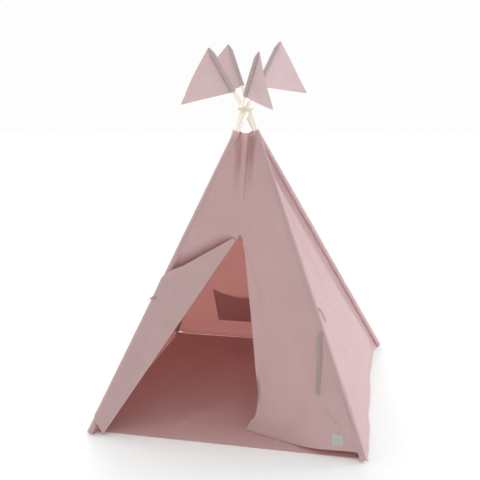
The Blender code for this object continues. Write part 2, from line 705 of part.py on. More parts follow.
def add_pocket(parent):
    """Inner pocket sewn to the back wall on three sides, its open edge sagging."""
    back = SURFACES["back"]

    def point(across, up):
        x = POCKET_LEFT + (POCKET_RIGHT - POCKET_LEFT) * across
        middle = math.sin(math.pi * across)
        top = POCKET_TOP_HEIGHT - POCKET_DROOP * middle
        height = POCKET_FOOT_HEIGHT + (top - POCKET_FOOT_HEIGHT) * up
        belly = POCKET_BELLY * (middle * math.sin(math.pi / 2 * up)) ** POCKET_ROUNDNESS
        share = back.share_at(-x, height)
        return back.point(share, height, -CLOTH_LAYER - belly, 0)

    cloth_sheet("inner_pocket", POCKET_GRID, point, CLOTH, COVER_CLOTH, parent)


def add_mat():
    """Thin square floor mat with rounded corners."""
    shape = bmesh.new()
    bmesh.ops.create_cube(shape, size=1)
    for vertex in shape.verts:
        vertex.co.x *= MAT_WIDTH
        vertex.co.y = vertex.co.y * MAT_DEPTH + (MAT_FRONT_INSET - MAT_INSET) / 2
        vertex.co.z = (vertex.co.z + 1 / 2) * MAT_THICKNESS
    uprights = [edge for edge in shape.edges
                if abs(edge.verts[0].co.z - edge.verts[1].co.z) > MAT_THICKNESS / 2]
    bmesh.ops.bevel(shape, geom=uprights, offset=MAT_CORNER, segments=MAT_CORNER_STEPS,
                    profile=0.5, affect="EDGES")
    mesh = bpy.data.meshes.new("floor_mat")
    shape.to_mesh(mesh)
    shape.free()
    place(mesh, "floor_mat", MAT_CLOTH, None)


def lashing_radius():
    """Radius of the lashing's middle line, just clear of the four poles' bundle."""
    half_height = LASHING_TURNS * LASHING_PITCH / 2 + CORD_RADIUS
    drift = half_height * HALF_BASE * math.sqrt(2) / CROSSING_HEIGHT
    widest = 0
    for step in range(BUNDLE_SAMPLES):
        angle = math.pi * step / BUNDLE_SAMPLES
        radial = drift + POLE_RADIUS / POLE_LEAN_COSINE * math.cos(angle)
        sideways = POLE_SIDE_STEP + POLE_RADIUS * math.sin(angle)
        widest = max(widest, math.hypot(radial, sideways))
    return widest + SEAT_GAP + CORD_RADIUS


def add_lashing(parent):
    """Cord wound round the crossing, its knot, and the knot's two loose ends."""
    radius = lashing_radius()
    turn = math.radians(KNOT_TURN)
    count = LASHING_TURNS * TURN_STEPS
    start = CROSSING_HEIGHT - LASHING_TURNS * LASHING_PITCH / 2
    loops = []
    for step in range(count + 1):
        angle = turn + 2 * math.pi * step / TURN_STEPS
        level = start + LASHING_PITCH * step / TURN_STEPS
        loops.append(Vector((radius * math.cos(angle), radius * math.sin(angle), level)))
    least = min((loops[i] - loops[j]).length for i in range(count + 1)
                for j in range(i + TURN_STEPS // 2, count + 1)) - 2 * CORD_RADIUS
    print(f"lashing: {LASHING_TURNS} turns, least gap to itself {least * 1000:.2f} mm")
    cord("crossing_lashing", loops, CORD_LOOK, parent, LASHING_RESOLUTION)

    out = Vector((math.cos(turn), math.sin(turn), 0))
    knot_middle = out * (radius + CORD_RADIUS + SEAT_GAP + KNOT_RADIUS) + UP * CROSSING_HEIGHT
    shape = bmesh.new()
    around, over = KNOT_SEGMENTS
    bmesh.ops.create_uvsphere(shape, u_segments=around, v_segments=over, radius=KNOT_RADIUS)
    mesh = bpy.data.meshes.new("lashing_knot")
    shape.to_mesh(mesh)
    shape.free()
    mesh.shade_smooth()
    place(mesh, "lashing_knot", CORD_LOOK, parent,
          Matrix.Translation(knot_middle - PIVOT_PLACES[parent.name]))

    for name, (way, route) in TAIL_ROUTES.items():
        leaving = knot_middle + Vector(way) * (KNOT_RADIUS + SEAT_GAP)
        cord(name, smooth_route(leaving, route), CORD_LOOK, parent, CORD_RESOLUTION)


def add_ties(pole_pivots, flap_pivot):
    """Ribbons that tie the door flaps back, hanging loose or holding the left flap."""
    seated = SEAT_GAP + RIBBON_THICKNESS / 2
    for name, (corner, height, width_way, route) in POLE_TIES.items():
        over_flap = FLAP_LOOSENESS + CLOTH_LAYER + SEAT_GAP if corner == "front_left" else 0
        sewn_at = POLES[corner].beside_sleeve(height, TIE_TURNS[name], over_flap + seated)
        ribbon(name, smooth_route(sewn_at, route), width_way, RIBBON_CLOTH, pole_pivots[corner])
    lying = CLOTH / 2 + seated + SEAT_GAP
    route = [right_flap_point(across, up, lying + hang)
             for (across, up), hang in zip(FLAP_TIE_SHARES, FLAP_TIE_HANG)]
    across, up = FLAP_TIE_SHARES[0]
    step = FLAP_TIE_STEP_SHARE
    width_way = right_flap_point(across - step, up) - right_flap_point(across + step, up)
    ribbon("right_flap_tie", smooth_route(Vector(), route), width_way, RIBBON_CLOTH, flap_pivot)


for old in list(bpy.data.objects):
    bpy.data.objects.remove(old, do_unlink=True)
PARTS = bpy.data.collections.new("kids_teepee")
CUTTERS = bpy.data.collections.new("kids_teepee_cutters")
bpy.context.scene.collection.children.link(PARTS)
bpy.context.scene.collection.children.link(CUTTERS)
PIVOT_PLACES = {}

WOOD = material("pine", "#D7C8AF", 0.6)
COVER_CLOTH = material("cover cotton", "#C8AAA8", 0.9)
FLAG_CLOTH_LOOK = material("flag cotton", "#C8AAAC", 0.9)
MAT_CLOTH = material("mat cotton", "#A58282", 0.9)
LABEL_CLOTH = material("label cotton", "#BEBEB9", 0.8)
RIBBON_CLOTH = material("ribbon linen", "#9A9486", 0.9)
CORD_LOOK = material("lashing cord", "#D8CDBB", 0.9)

POLES = {corner: Pole(corner) for corner in CORNERS}
SURFACES = {side: Wall(side) for side in WALLS}

add_mat()
crossing_pivot = pivot("crossing", UP * CROSSING_HEIGHT)
add_lashing(crossing_pivot)
pole_pivots = {}
for number, (corner, pole) in enumerate(POLES.items()):
    pole_pivots[corner] = pivot(f"hinge_{corner}", pole.crossing, crossing_pivot)
    add_pole(pole, pole_pivots[corner])
    add_sleeve(pole, pole_pivots[corner])
    flag_middle = pole.top_length - FLAG_TOP_MARGIN - FLAG_SLEEVE_LENGTH / 2
    flag_place = pole.crossing + pole.upward * flag_middle
    add_flag(pole, pivot(f"swivel_{corner}", flag_place, pole_pivots[corner]), number)
wall_pivots = {side: pivot(f"lean_{side}", UP * CROSSING_HEIGHT, crossing_pivot) for side in WALLS}
for side in ("left", "right", "back"):
    add_side_wall(side, wall_pivots[side])
add_front_wall(wall_pivots["front"])
add_pocket(wall_pivots["back"])

slit_share = SURFACES["front"].share_at(SLIT_TOP_X, SLIT_TOP_HEIGHT)
slit_top = SURFACES["front"].point(slit_share, SLIT_TOP_HEIGHT, 0, 0)
right_flap_pivot = pivot("right_flap_swing", slit_top, wall_pivots["front"])
add_right_flap(right_flap_pivot)
add_label(right_flap_pivot)
folded_flap = FoldedFlap()
left_fold_top = folded_flap.spot(folded_flap.slit_top)
left_flap_pivot = pivot("left_flap_swing", left_fold_top, wall_pivots["front"])
add_left_flap(folded_flap, left_flap_pivot)
bend_place = folded_flap.spot(folded_flap.edge_bend)
add_left_flap_tip(folded_flap, pivot("left_flap_tip_bend", bend_place, left_flap_pivot))
add_ties(pole_pivots, right_flap_pivot)
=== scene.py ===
# %% [markdown]
# # A child's play teepee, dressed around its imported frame
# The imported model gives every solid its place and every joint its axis. This script keeps
# those places and gives each piece the shape and finish that the eye expects: cloth that
# sags and folds, tape with a woven face, dowels with grain. Nothing in the frame is moved.

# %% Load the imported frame
import json
import math

import bmesh
import bpy
from mathutils import Matrix, Vector, noise


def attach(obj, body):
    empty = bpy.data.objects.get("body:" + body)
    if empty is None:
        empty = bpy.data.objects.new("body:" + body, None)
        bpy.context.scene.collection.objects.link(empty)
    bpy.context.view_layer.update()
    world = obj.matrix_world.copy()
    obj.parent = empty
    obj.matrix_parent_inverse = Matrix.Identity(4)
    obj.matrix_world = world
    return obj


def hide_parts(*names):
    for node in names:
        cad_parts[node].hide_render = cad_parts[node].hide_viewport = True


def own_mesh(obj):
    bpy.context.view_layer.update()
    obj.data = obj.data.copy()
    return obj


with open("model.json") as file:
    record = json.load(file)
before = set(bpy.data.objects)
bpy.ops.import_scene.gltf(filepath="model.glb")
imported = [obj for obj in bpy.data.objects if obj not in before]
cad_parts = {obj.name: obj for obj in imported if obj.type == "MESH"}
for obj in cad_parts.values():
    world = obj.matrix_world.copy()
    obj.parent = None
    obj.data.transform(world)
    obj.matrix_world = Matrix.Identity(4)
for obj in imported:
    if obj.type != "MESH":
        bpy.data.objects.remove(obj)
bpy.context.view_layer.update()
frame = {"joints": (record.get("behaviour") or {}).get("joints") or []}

# %% [markdown]
# ## The camera
# A photographer stood a little to the right of the door and held the camera at an adult's
# eye level, looking slightly down. Setting the three turns as yaw, pitch and roll keeps them
# readable, and the focal length comes from the width of the picture in pixels.

# %% Camera at the photograph's angle
UP = Vector((0, 0, 1))
PICTURE_SIDE = 480
FOCAL_PIXELS = 703.4
YAW = math.radians(-13.77)
PITCH = math.radians(14.70)
ROLL = math.radians(-1.48)
EYE = Vector((0.731, -3.152, 1.601))

ahead = Vector((math.sin(YAW) * math.cos(PITCH), math.cos(YAW) * math.cos(PITCH), -math.sin(PITCH)))
level_right = ahead.cross(UP).normalized()
level_up = level_right.cross(ahead)
camera_right = level_right * math.cos(ROLL) + level_up * math.sin(ROLL)
camera_up = level_up * math.cos(ROLL) - level_right * math.sin(ROLL)
camera_data = bpy.data.cameras.new("photo_camera")
camera_data.sensor_width = 36
camera_data.lens = FOCAL_PIXELS / PICTURE_SIDE * camera_data.sensor_width
camera = bpy.data.objects.new("photo_camera", camera_data)
camera_turn = Matrix((camera_right, camera_up, -ahead)).transposed().to_4x4()
camera.matrix_world = Matrix.Translation(EYE) @ camera_turn
bpy.context.scene.collection.objects.link(camera)
bpy.context.scene.camera = camera
print(f"camera: {camera_data.lens:.1f} mm lens, {EYE.z:.2f} m up")

# %% [markdown]
# ## Where the frame is
# Each pole is a straight line from its foot to the place where it passes the others. The
# crossing points are the leg joints' own points, so the cloth made here and the packed
# poles can't drift apart. A wall is then a surface stretched between two of those lines.

# %% Poles' axes, read from the joints
HALF_BASE = 0.600
CROSSING_HEIGHT = 1.365
POLE_RADIUS = 0.012
POLE_TOP_LENGTHS = {"front_left": 0.340, "front_right": 0.334, "back_right": 0.316, "back_left": 0.290}
CORNERS = {"front_left": (-1, -1), "front_right": (1, -1), "back_right": (1, 1), "back_left": (-1, 1)}
joints = {joint["name"]: joint for joint in frame["joints"]}
foot, crossing, upward = {}, {}, {}
for corner, (side_x, side_y) in CORNERS.items():
    foot[corner] = Vector((side_x, side_y, 0)) * HALF_BASE
    crossing[corner] = Vector(joints[f"{corner}_leg_fold"]["pos_m"])
    upward[corner] = (crossing[corner] - foot[corner]).normalized()
LEAN_COSINE = upward["front_left"].z


def axis_at(corner, height):
    """Point of a pole's axis at a height over the floor."""
    return foot[corner].lerp(crossing[corner], height / CROSSING_HEIGHT)


def below_crossing(corner):
    """Length of a pole's axis from the floor to the crossing."""
    return (crossing[corner] - foot[corner]).length


def pole_frame(corner):
    """Axes of a pole: outward beneath it, level across it, and up along it."""
    across = UP.cross(Vector((*CORNERS[corner], 0)).normalized())
    beneath = across.cross(upward[corner]).normalized()
    level = upward[corner].cross(beneath)
    return Matrix((beneath, level, upward[corner])).transposed()


print("poles lean", round(math.degrees(math.acos(LEAN_COSINE)), 1), "degrees")

# %% [markdown]
# ## Colours and node trees
# Paint charts give colours as sRGB hex, but a shader works in linear light, so one function
# turns them. One more adds a node with its settings and links, which keeps each material
# readable as a list of what it is made of.

# %% Helpers for materials
def linear(hex_colour):
    """Linear RGBA of an sRGB hex colour."""
    shares = [int(hex_colour[i:i + 2], 16) / 255 for i in (1, 3, 5)]
    return (*(c / 12.92 if c <= 0.04045 else ((c + 0.055) / 1.055) ** 2.4 for c in shares), 1)


def add_node(tree, kind, settings=None, links=None):
    """Node of a kind, with settings by property or input, and inputs linked to nodes or outputs."""
    node = tree.nodes.new("ShaderNode" + kind)
    for key, value in (settings or {}).items():
        if isinstance(key, str) and hasattr(node, key):
            setattr(node, key, value)
        else:
            node.inputs[key].default_value = value
    for key, source in (links or {}).items():
        output = source.outputs[0] if isinstance(source, bpy.types.Node) else source
        tree.links.new(output, node.inputs[key])
    return node


def new_material(name):
    """Empty node material and its tree."""
    result = bpy.data.materials.new(name)
    result.use_nodes = True
    result.node_tree.nodes.clear()
    return result, result.node_tree


# %% [markdown]
# ## Cotton canvas
# The cover is a plain-woven cotton canvas, dyed dusty pink and washed. Up close the eye
# sees its two sets of threads, with a thicker thread here and there; from across a room it
# sees a matt, slightly streaky cloth. It is thin enough to glow when lit from behind, so a
# Translucent shader takes a share of the light through. The real threads are 0.5 mm apart,
# finer than the picture can show, so they are drawn 3 mm apart and kept faint.

# %% Cotton canvas material
TURN = 2 * math.pi
THREAD_SPACING = 0.003
WEAVE_DEPTH = 0.0004
STITCH_LENGTH = 0.0040
STITCH_DRAWN_SHARE = 0.7
STITCH_WIDTH = 0.0011
STITCH_INSET = 0.016
STITCH_COLOUR = "#E7D6D4"
# Noise per metre along and across a thread, and per metre for the washed patches
SLUB_SCALES = (5, 260)
PATCH_SCALE = 5.0


def canvas(name, face, slub, glow, glow_share):
    """Woven cotton: face and slub colours, and the colour and share of light let through."""
    material, tree = new_material(name)
    place = add_node(tree, "UVMap", {"uv_map": "cloth"})
    split = add_node(tree, "SeparateXYZ", links={0: place})
    waves, slubs = [], []
    for way, stretch in zip(split.outputs[:2], (SLUB_SCALES, SLUB_SCALES[::-1])):
        phase = add_node(tree, "Math", {"operation": "MULTIPLY", 1: TURN / THREAD_SPACING}, {0: way})
        waves.append(add_node(tree, "Math", {"operation": "SINE"}, {0: phase}))
        laid = add_node(tree, "Mapping", {"Scale": (*stretch, 1)}, {"Vector": place})
        slubs.append(add_node(tree, "TexNoise", {"Scale": 1.0, "Detail": 2.0}, {"Vector": laid}))
    weave = add_node(tree, "Math", {"operation": "MULTIPLY"}, {0: waves[0], 1: waves[1]})
    threads = add_node(tree, "Math", {"operation": "ADD"}, {0: slubs[0], 1: slubs[1]})
    streak = add_node(tree, "MapRange", {"From Min": 0.85, "From Max": 1.25}, {"Value": threads})
    patches = add_node(tree, "TexNoise", {"Scale": PATCH_SCALE, "Detail": 3.0}, {"Vector": place})
    patch = add_node(tree, "MapRange", {"From Min": 0.3, "From Max": 0.7, "To Max": 0.45},
                     {"Value": patches})
    mixed = add_node(tree, "Math", {"operation": "MULTIPLY_ADD", 1: 0.5}, {0: streak, 2: patch})
    tint = add_node(tree, "Mix", {"data_type": "RGBA", 6: linear(face), 7: linear(slub)}, {0: mixed})
    # The stitches are dashes on one line inside each hem
    hem = add_node(tree, "Attribute", {"attribute_name": "hem"}).outputs["Fac"]
    run = add_node(tree, "Attribute", {"attribute_name": "seam_run"}).outputs["Fac"]
    off = add_node(tree, "Math", {"operation": "SUBTRACT", 1: STITCH_INSET}, {0: hem})
    near = add_node(tree, "Math", {"operation": "COMPARE", 1: 0.0, 2: STITCH_WIDTH / 2}, {0: off})
    count = add_node(tree, "Math", {"operation": "DIVIDE", 1: STITCH_LENGTH}, {0: run})
    part = add_node(tree, "Math", {"operation": "FRACT"}, {0: count})
    drawn = add_node(tree, "Math", {"operation": "LESS_THAN", 1: STITCH_DRAWN_SHARE}, {0: part})
    stitch = add_node(tree, "Math", {"operation": "MULTIPLY"}, {0: near, 1: drawn})
    colour = add_node(tree, "Mix", {"data_type": "RGBA", 7: linear(STITCH_COLOUR)},
                      {0: stitch, 6: tint.outputs[2]})
    height = add_node(tree, "Math", {"operation": "MULTIPLY_ADD", 1: 2.0}, {0: stitch, 2: weave})
    bump = add_node(tree, "Bump", {"Strength": 0.25, "Distance": WEAVE_DEPTH}, {"Height": height})
    face_shader = add_node(tree, "BsdfPrincipled", {
        "Roughness": 0.88, "Specular IOR Level": 0.25, "Sheen Weight": 0.12, "Sheen Roughness": 0.6},
        {"Base Color": colour.outputs[2], "Normal": bump})
    through = add_node(tree, "BsdfTranslucent", {"Color": linear(glow)}, {"Normal": bump})
    both = add_node(tree, "MixShader", {0: glow_share}, {1: face_shader, 2: through})
    add_node(tree, "OutputMaterial", links={"Surface": both})
    return material


# A finish is a material and the name of its slot in the record
COVER_CANVAS = (canvas("cotton_canvas_dusty_pink", "#E2CFD0", "#D6C0C1", "#F6CBC4", 0.41), "cover_cotton")
POCKET_CANVAS = (canvas("cotton_canvas_pocket_pink", "#DCC2C2", "#CFB4B4", "#F0B8AE", 0.30), "cover_cotton")
FLAG_CANVAS = (canvas("cotton_canvas_flag_pink", "#D8C7CA", "#CCBABD", "#F6DEDA", 0.32), "flag_cotton")
MAT_CANVAS = (canvas("cotton_canvas_mat_pink", "#CAA6A5", "#BF9A99", "#B8746E", 0.012), "mat_cotton")
print("canvas: threads drawn", THREAD_SPACING * 1000, "mm apart, stitches", STITCH_LENGTH * 1000, "mm")

# %% [markdown]
# ## The other finishes
# The poles are pine dowels, turned and sanded but left bare: pale, with fine lines of grain
# that run along them. The ties are herringbone linen tape, grey-green and a little fuzzy.
# The lashing is a twisted cotton cord, and the label a strip of smooth pale cotton tape.

# %% Pine, tape and cord materials
GRAIN_DEPTH = 0.0003
FOLD_OF_RIBS = 0.003
# Each layer of the grain: noise per metre across and along, detail and distortion
FIBRES = ((240, 240, 7), 4.0, 0.6)
RINGS = ((60, 60, 1.6), 2.0, 1.5)


def pine():
    """Sanded pine dowel, its grain running along the attribute 'grain'."""
    material, tree = new_material("pine_dowel_sanded")
    grain = add_node(tree, "Attribute", {"attribute_name": "grain"}).outputs["Vector"]
    layers = []
    for scale, detail, distortion in (FIBRES, RINGS):
        laid = add_node(tree, "Mapping", {"Scale": scale}, {"Vector": grain})
        layers.append(add_node(tree, "TexNoise", {"Scale": 1.0, "Detail": detail, "Distortion": distortion},
                               {"Vector": laid}))
    mixed = add_node(tree, "Math", {"operation": "MULTIPLY_ADD", 1: 0.6}, {0: layers[0], 2: layers[1]})
    tone = add_node(tree, "MapRange", {"From Min": 0.55, "From Max": 1.05}, {"Value": mixed})
    tint = add_node(tree, "Mix", {"data_type": "RGBA", 6: linear("#FFFAF3"), 7: linear("#F8EFE2")},
                    {0: tone})
    bump = add_node(tree, "Bump", {"Strength": 0.15, "Distance": GRAIN_DEPTH}, {"Height": layers[0]})
    shader = add_node(tree, "BsdfPrincipled", {"Roughness": 0.55, "Specular IOR Level": 0.4},
                      {"Base Color": tint.outputs[2], "Normal": bump})
    add_node(tree, "OutputMaterial", links={"Surface": shader})
    return material


def tape(name, light, dark, rib):
    """Woven tape with ribs of a spacing across it, on the map 'cloth'."""
    material, tree = new_material(name)
    place = add_node(tree, "UVMap", {"uv_map": "cloth"})
    split = add_node(tree, "SeparateXYZ", links={0: place})
    fold = add_node(tree, "Math", {"operation": "PINGPONG", 1: FOLD_OF_RIBS}, {0: split})
    slant = add_node(tree, "Math", {"operation": "ADD"}, {0: fold, 1: split.outputs[1]})
    phase = add_node(tree, "Math", {"operation": "MULTIPLY", 1: TURN / rib}, {0: slant})
    ribs = add_node(tree, "Math", {"operation": "SINE"}, {0: phase})
    fuzz = add_node(tree, "TexNoise", {"Scale": 900.0, "Detail": 2.0}, {"Vector": place})
    mixed = add_node(tree, "Math", {"operation": "MULTIPLY_ADD", 1: 0.25}, {0: ribs, 2: fuzz})
    tint = add_node(tree, "Mix", {"data_type": "RGBA", 6: linear(dark), 7: linear(light)}, {0: mixed})
    bump = add_node(tree, "Bump", {"Strength": 0.4, "Distance": GRAIN_DEPTH}, {"Height": ribs})
    shader = add_node(tree, "BsdfPrincipled", {
        "Roughness": 0.85, "Specular IOR Level": 0.25, "Sheen Weight": 0.1},
        {"Base Color": tint.outputs[2], "Normal": bump})
    add_node(tree, "OutputMaterial", links={"Surface": shader})
    return material


PINE = (pine(), "pine")
LINEN_TAPE = (tape("linen_tape_herringbone_grey", "#B5A9A1", "#948881", 0.0012), "ribbon_linen")
LABEL_TAPE = (tape("cotton_tape_label_pale", "#C9C7C2", "#B4B2AC", 0.0010), "label_cotton")
TWISTED_CORD = (tape("cotton_cord_twisted_natural", "#F7F1E6", "#D8CBB6", 0.0030), "lashing_cord")
print("materials:", len(bpy.data.materials))

# %% [markdown]
# ## From a shape to a piece
# Every bmesh ends in the same way: it becomes an object with its finish, rides on a body of
# the frame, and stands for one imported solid. Before that, cloth and cord get smooth faces
# and a map named cloth, in flat metres, which their weave or twist follows.

# %% Helpers for pieces
MERGE_DISTANCE = 0.00002


def lay_map(shape, width_scale=1.0):
    """Smooth faces, and the map 'cloth' from each vertex's flat place in metres."""
    maps = shape.loops.layers.uv.new("cloth")
    for face in shape.faces:
        face.smooth = True
        for loop in face.loops:
            loop[maps].uv = (loop.vert.co.x * width_scale, loop.vert.co.y)


def finished(shape, name, finish, body, node):
    """The shape as an object with its finish, on a body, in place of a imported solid."""
    material, slot = finish
    mesh = bpy.data.meshes.new(name)
    shape.to_mesh(mesh)
    shape.free()
    mesh.materials.append(material)
    piece = bpy.data.objects.new(name, mesh)
    bpy.context.scene.collection.objects.link(piece)
    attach(piece, body)
    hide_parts(node)
    return piece


# %% [markdown]
# ## Making a sheet of cloth
# Every cloth piece starts as one flat grid, because a bolt of cloth is one too. Its rows and
# columns crowd together at the hems, each vertex is moved to its place on the real form, and
# a Solidify modifier gives it its thickness, twice as much where the hem is folded over. The
# map named cloth holds the flat metres that the weave follows.

# %% Curves and cloth helpers
HEM_WIDTH = 0.020
HEM_EDGE = 0.002
CLOTH_THICKNESS = 0.0012
NO_HEM = (1.0, 0.0)
# Depth and size of the creases that cloth keeps from its bag, large and small
CRUMPLES = ((0.0022, 0.110), (0.0009, 0.045))
CRUMPLE_TALLNESS = 0.45


def smoothstep(x):
    """Ease from 0 to 1."""
    x = min(1.0, max(0.0, x))
    return x * x * (3 - 2 * x)


def fade(x, start, length):
    """Ease from 1 at a start to 0 a length further."""
    return 1 - smoothstep((x - start) / length)


def arch(share):
    """Rise from 0 to 1 in the middle, and back to 0."""
    return math.sin(math.pi * min(1, max(0, share)))


def bell(distance, width):
    """1 at no distance, falling off to either side over a width."""
    return math.exp(-(distance / width) ** 2)


def spaced(low, high, count):
    """Even values from low to high."""
    return [low + (high - low) * i / count for i in range(count + 1)]


def steps(length, count, low_hem=True, high_hem=True):
    """Shares of a length for a grid's lines, with two lines at the edge of each hem."""
    edge, inside = HEM_WIDTH / length, (HEM_WIDTH + HEM_EDGE) / length
    low = [0.0, edge, inside] if low_hem else [0.0]
    high = [1 - inside, 1 - edge, 1.0] if high_hem else [1.0]
    return low + spaced(low[-1], high[0], count)[1:-1] + high


def flat_grid(across, up, width, length):
    """Flat cloth in metres, its lines at shares of its width and length."""
    shape = bmesh.new()
    columns, rows = len(across) - 1, len(up) - 1
    bmesh.ops.create_grid(shape, x_segments=columns, y_segments=rows, size=0.5)
    for vertex in shape.verts:
        column, row = (vertex.co.x + 0.5) * columns, (vertex.co.y + 0.5) * rows
        vertex.co = (across[round(column)] * width, up[round(row)] * length, 0)
    return shape


def hemmed(sides, width=1.0, length=1.0):
    """Gives, at a flat point, the distance from the nearest hem of sides l, r, b and t, and its run."""
    def hem_at(x, y):
        near = {"l": (x, y), "r": (width - x, y), "b": (y, x), "t": (length - y, x)}
        return min((near[side] for side in sides), default=NO_HEM)

    return hem_at


def hang(shape, name, place, hem_at, finish, body, node, thickness=CLOTH_THICKNESS):
    """Flat cloth moved to its place, thick and hemmed, on a body of the frame."""
    lay_map(shape)
    hem = shape.verts.layers.float.new("hem")
    seam_run = shape.verts.layers.float.new("seam_run")
    weights = shape.verts.layers.deform.verify()
    for vertex in shape.verts:
        vertex[hem], vertex[seam_run] = hem_at(vertex.co.x, vertex.co.y)
        vertex[weights][0] = 1.0 if vertex[hem] < HEM_WIDTH + HEM_EDGE / 2 else 0.0
        vertex.co = place(vertex.co.x, vertex.co.y)
    bmesh.ops.remove_doubles(shape, verts=shape.verts, dist=MERGE_DISTANCE)
    for edge in shape.edges:
        edge.smooth = not edge.is_boundary
    piece = finished(shape, name, finish, body, node)
    piece.vertex_groups.new(name="doubled")
    shell = piece.modifiers.new("thickness", "SOLIDIFY")
    shell.thickness = 2 * thickness
    shell.offset = 0
    shell.vertex_group = "doubled"
    shell.thickness_vertex_group = 0.5
    return piece


def cloth(name, across, up, point, flat, finish, body, node, hems="", thickness=CLOTH_THICKNESS):
    """Rectangle of cloth through point(across share, up share), hemmed on sides l, r, b and t."""
    width, length = flat
    return hang(flat_grid(across, up, width, length), name, lambda x, y: point(x / width, y / length),
                hemmed(hems, width, length), finish, body, node, thickness)


def ripple(place, size, seed):
    """Gentle unevenness from -1 to 1, with hollows of about a size in metres."""
    return noise.noise(place / size + Vector((seed * 7.3, seed * 3.1, seed * 5.7)))


def crumple(place, seed):
    """How far hanging cloth stands off its own even surface, in metres."""
    (deep, wide), (shallow, narrow) = CRUMPLES
    tall = Vector((place.x, place.y, place.z * CRUMPLE_TALLNESS))
    return deep * ripple(tall, wide, seed) + shallow * ripple(place, narrow, seed + 1)


# %% [markdown]
# ## Sleeves for the poles
# The cover is folded round each pole and sewn into a long sleeve, loose at the foot and
# close at the top. A smooth cone would look like plastic pipe, so the cloth here dents a
# little between the places where it touches the wood, and it has a hem at both ends.

# %% Sleeves
SLEEVE_TOP_HEIGHT = 1.268
SLEEVE_TOP_RADIUS = 0.0135
SLEEVE_FOOT_RADIUS = 0.0155
SLEEVE_CLOTH = 0.0010
BARE_FOOT_LENGTHS = {"front_left": 0.004, "front_right": 0.009, "back_right": 0.010, "back_left": 0.005}
SEAM_RIDGE_SHARES = {"front_right": 0.26}
SEAM_RIDGE_TURN = math.radians(20)
SLEEVE_CLEARANCE = 0.0015
# How loose a sleeve is at its top, how much more at its foot, and the size of its dents
SLEEVE_SLACK, SLEEVE_FOOT_SLACK = 0.0002, 0.0016
SLEEVE_DENT, SLEEVE_DENT_REACH = 0.070, 0.030
SLEEVE_DENT_BIAS = 0.4


def sleeve_radius(height):
    """Outer radius of a sleeve at a height."""
    return SLEEVE_FOOT_RADIUS + (SLEEVE_TOP_RADIUS - SLEEVE_FOOT_RADIUS) * height / SLEEVE_TOP_HEIGHT


def make_sleeve(corner, number):
    """Cloth tube round one pole."""
    way = pole_frame(corner)
    low = BARE_FOOT_LENGTHS[corner] - below_crossing(corner)
    high = (SLEEVE_TOP_HEIGHT - CROSSING_HEIGHT) / LEAN_COSINE
    girth = TURN * (SLEEVE_FOOT_RADIUS + SLEEVE_TOP_RADIUS) / 2

    def point(around, along):
        level = low + (high - low) * along
        angle = TURN * around
        out = Vector((math.cos(angle), math.sin(angle), 0))
        radius = SLEEVE_FOOT_RADIUS + (SLEEVE_TOP_RADIUS - SLEEVE_FOOT_RADIUS) * along
        # A flat seam down the outer side of the front right sleeve gives it an edge
        off_seam = min(angle, TURN - angle) / SEAM_RIDGE_TURN
        radius *= 1 + SEAM_RIDGE_SHARES.get(corner, 0) * bell(off_seam, 1)
        slack = SLEEVE_FOOT_SLACK * (1 - along) + SLEEVE_SLACK
        dent = slack * (ripple(out * SLEEVE_DENT_REACH + UP * level, SLEEVE_DENT, number) - SLEEVE_DENT_BIAS)
        spot = crossing[corner] + way @ (out * (radius - SLEEVE_CLOTH / 2 + dent) + UP * level)
        # The front left sleeve has slid down to the floor, which squares its end off
        return spot + upward[corner] * max(0, SLEEVE_CLEARANCE - spot.z) / LEAN_COSINE

    flat = (girth, high - low)
    piece = cloth(f"sleeve_cloth_{corner}", spaced(0, 1, 32), steps(high - low, 110), point, flat,
                  COVER_CANVAS, f"{corner}_leg", f"sleeve_{corner}", hems="bt", thickness=SLEEVE_CLOTH)


for number, corner in enumerate(CORNERS):
    make_sleeve(corner, number)
print("sleeves: 4, outer radius", SLEEVE_FOOT_RADIUS, "to", SLEEVE_TOP_RADIUS)

# %% [markdown]
# ## Poles
# A dowel is turned round, cut to length and its ends eased with sandpaper. Here it is one
# cylinder whose two end rims are bevelled, a little at the top and nearly to a dome at the
# foot, where it meets the floor.

# %% Poles
POLE_HIDDEN_END = 0.034
# How far in each end is eased, and in how many steps
FOOT_EASING, TOP_EASING = (0.0110, 6), (0.0035, 3)
GRAIN_SHIFT = Vector((0.13, 0.07, 0.90))


def make_pole(corner, number):
    """Pine dowel with eased ends."""
    low = POLE_RADIUS / LEAN_COSINE - below_crossing(corner) - POLE_RADIUS
    high = POLE_TOP_LENGTHS[corner] - POLE_HIDDEN_END
    shape = bmesh.new()
    bmesh.ops.create_cone(shape, cap_ends=True, segments=32, radius1=POLE_RADIUS, radius2=POLE_RADIUS,
                          depth=high - low)
    bmesh.ops.translate(shape, verts=shape.verts, vec=UP * (high + low) / 2)
    for end, (easing, rounds) in ((low, FOOT_EASING), (high, TOP_EASING)):
        rim = [edge for edge in shape.edges if all(abs(v.co.z - end) < MERGE_DISTANCE for v in edge.verts)]
        bmesh.ops.bevel(shape, geom=rim, offset=easing, segments=rounds, profile=0.5,
                        affect="EDGES", material=-1)
    grain = shape.verts.layers.float_vector.new("grain")
    for vertex in shape.verts:
        vertex[grain] = vertex.co + GRAIN_SHIFT * number
    for face in shape.faces:
        face.smooth = len(face.verts) == 4
    place = Matrix.Translation(crossing[corner]) @ pole_frame(corner).to_4x4()
    bmesh.ops.transform(shape, matrix=place, verts=shape.verts)
    finished(shape, f"pole_dowel_{corner}", PINE, f"{corner}_leg", f"pole_{corner}")
    return high - low


for number, corner in enumerate(CORNERS):
    print("pole", corner, round(make_pole(corner, number), 3), "m")

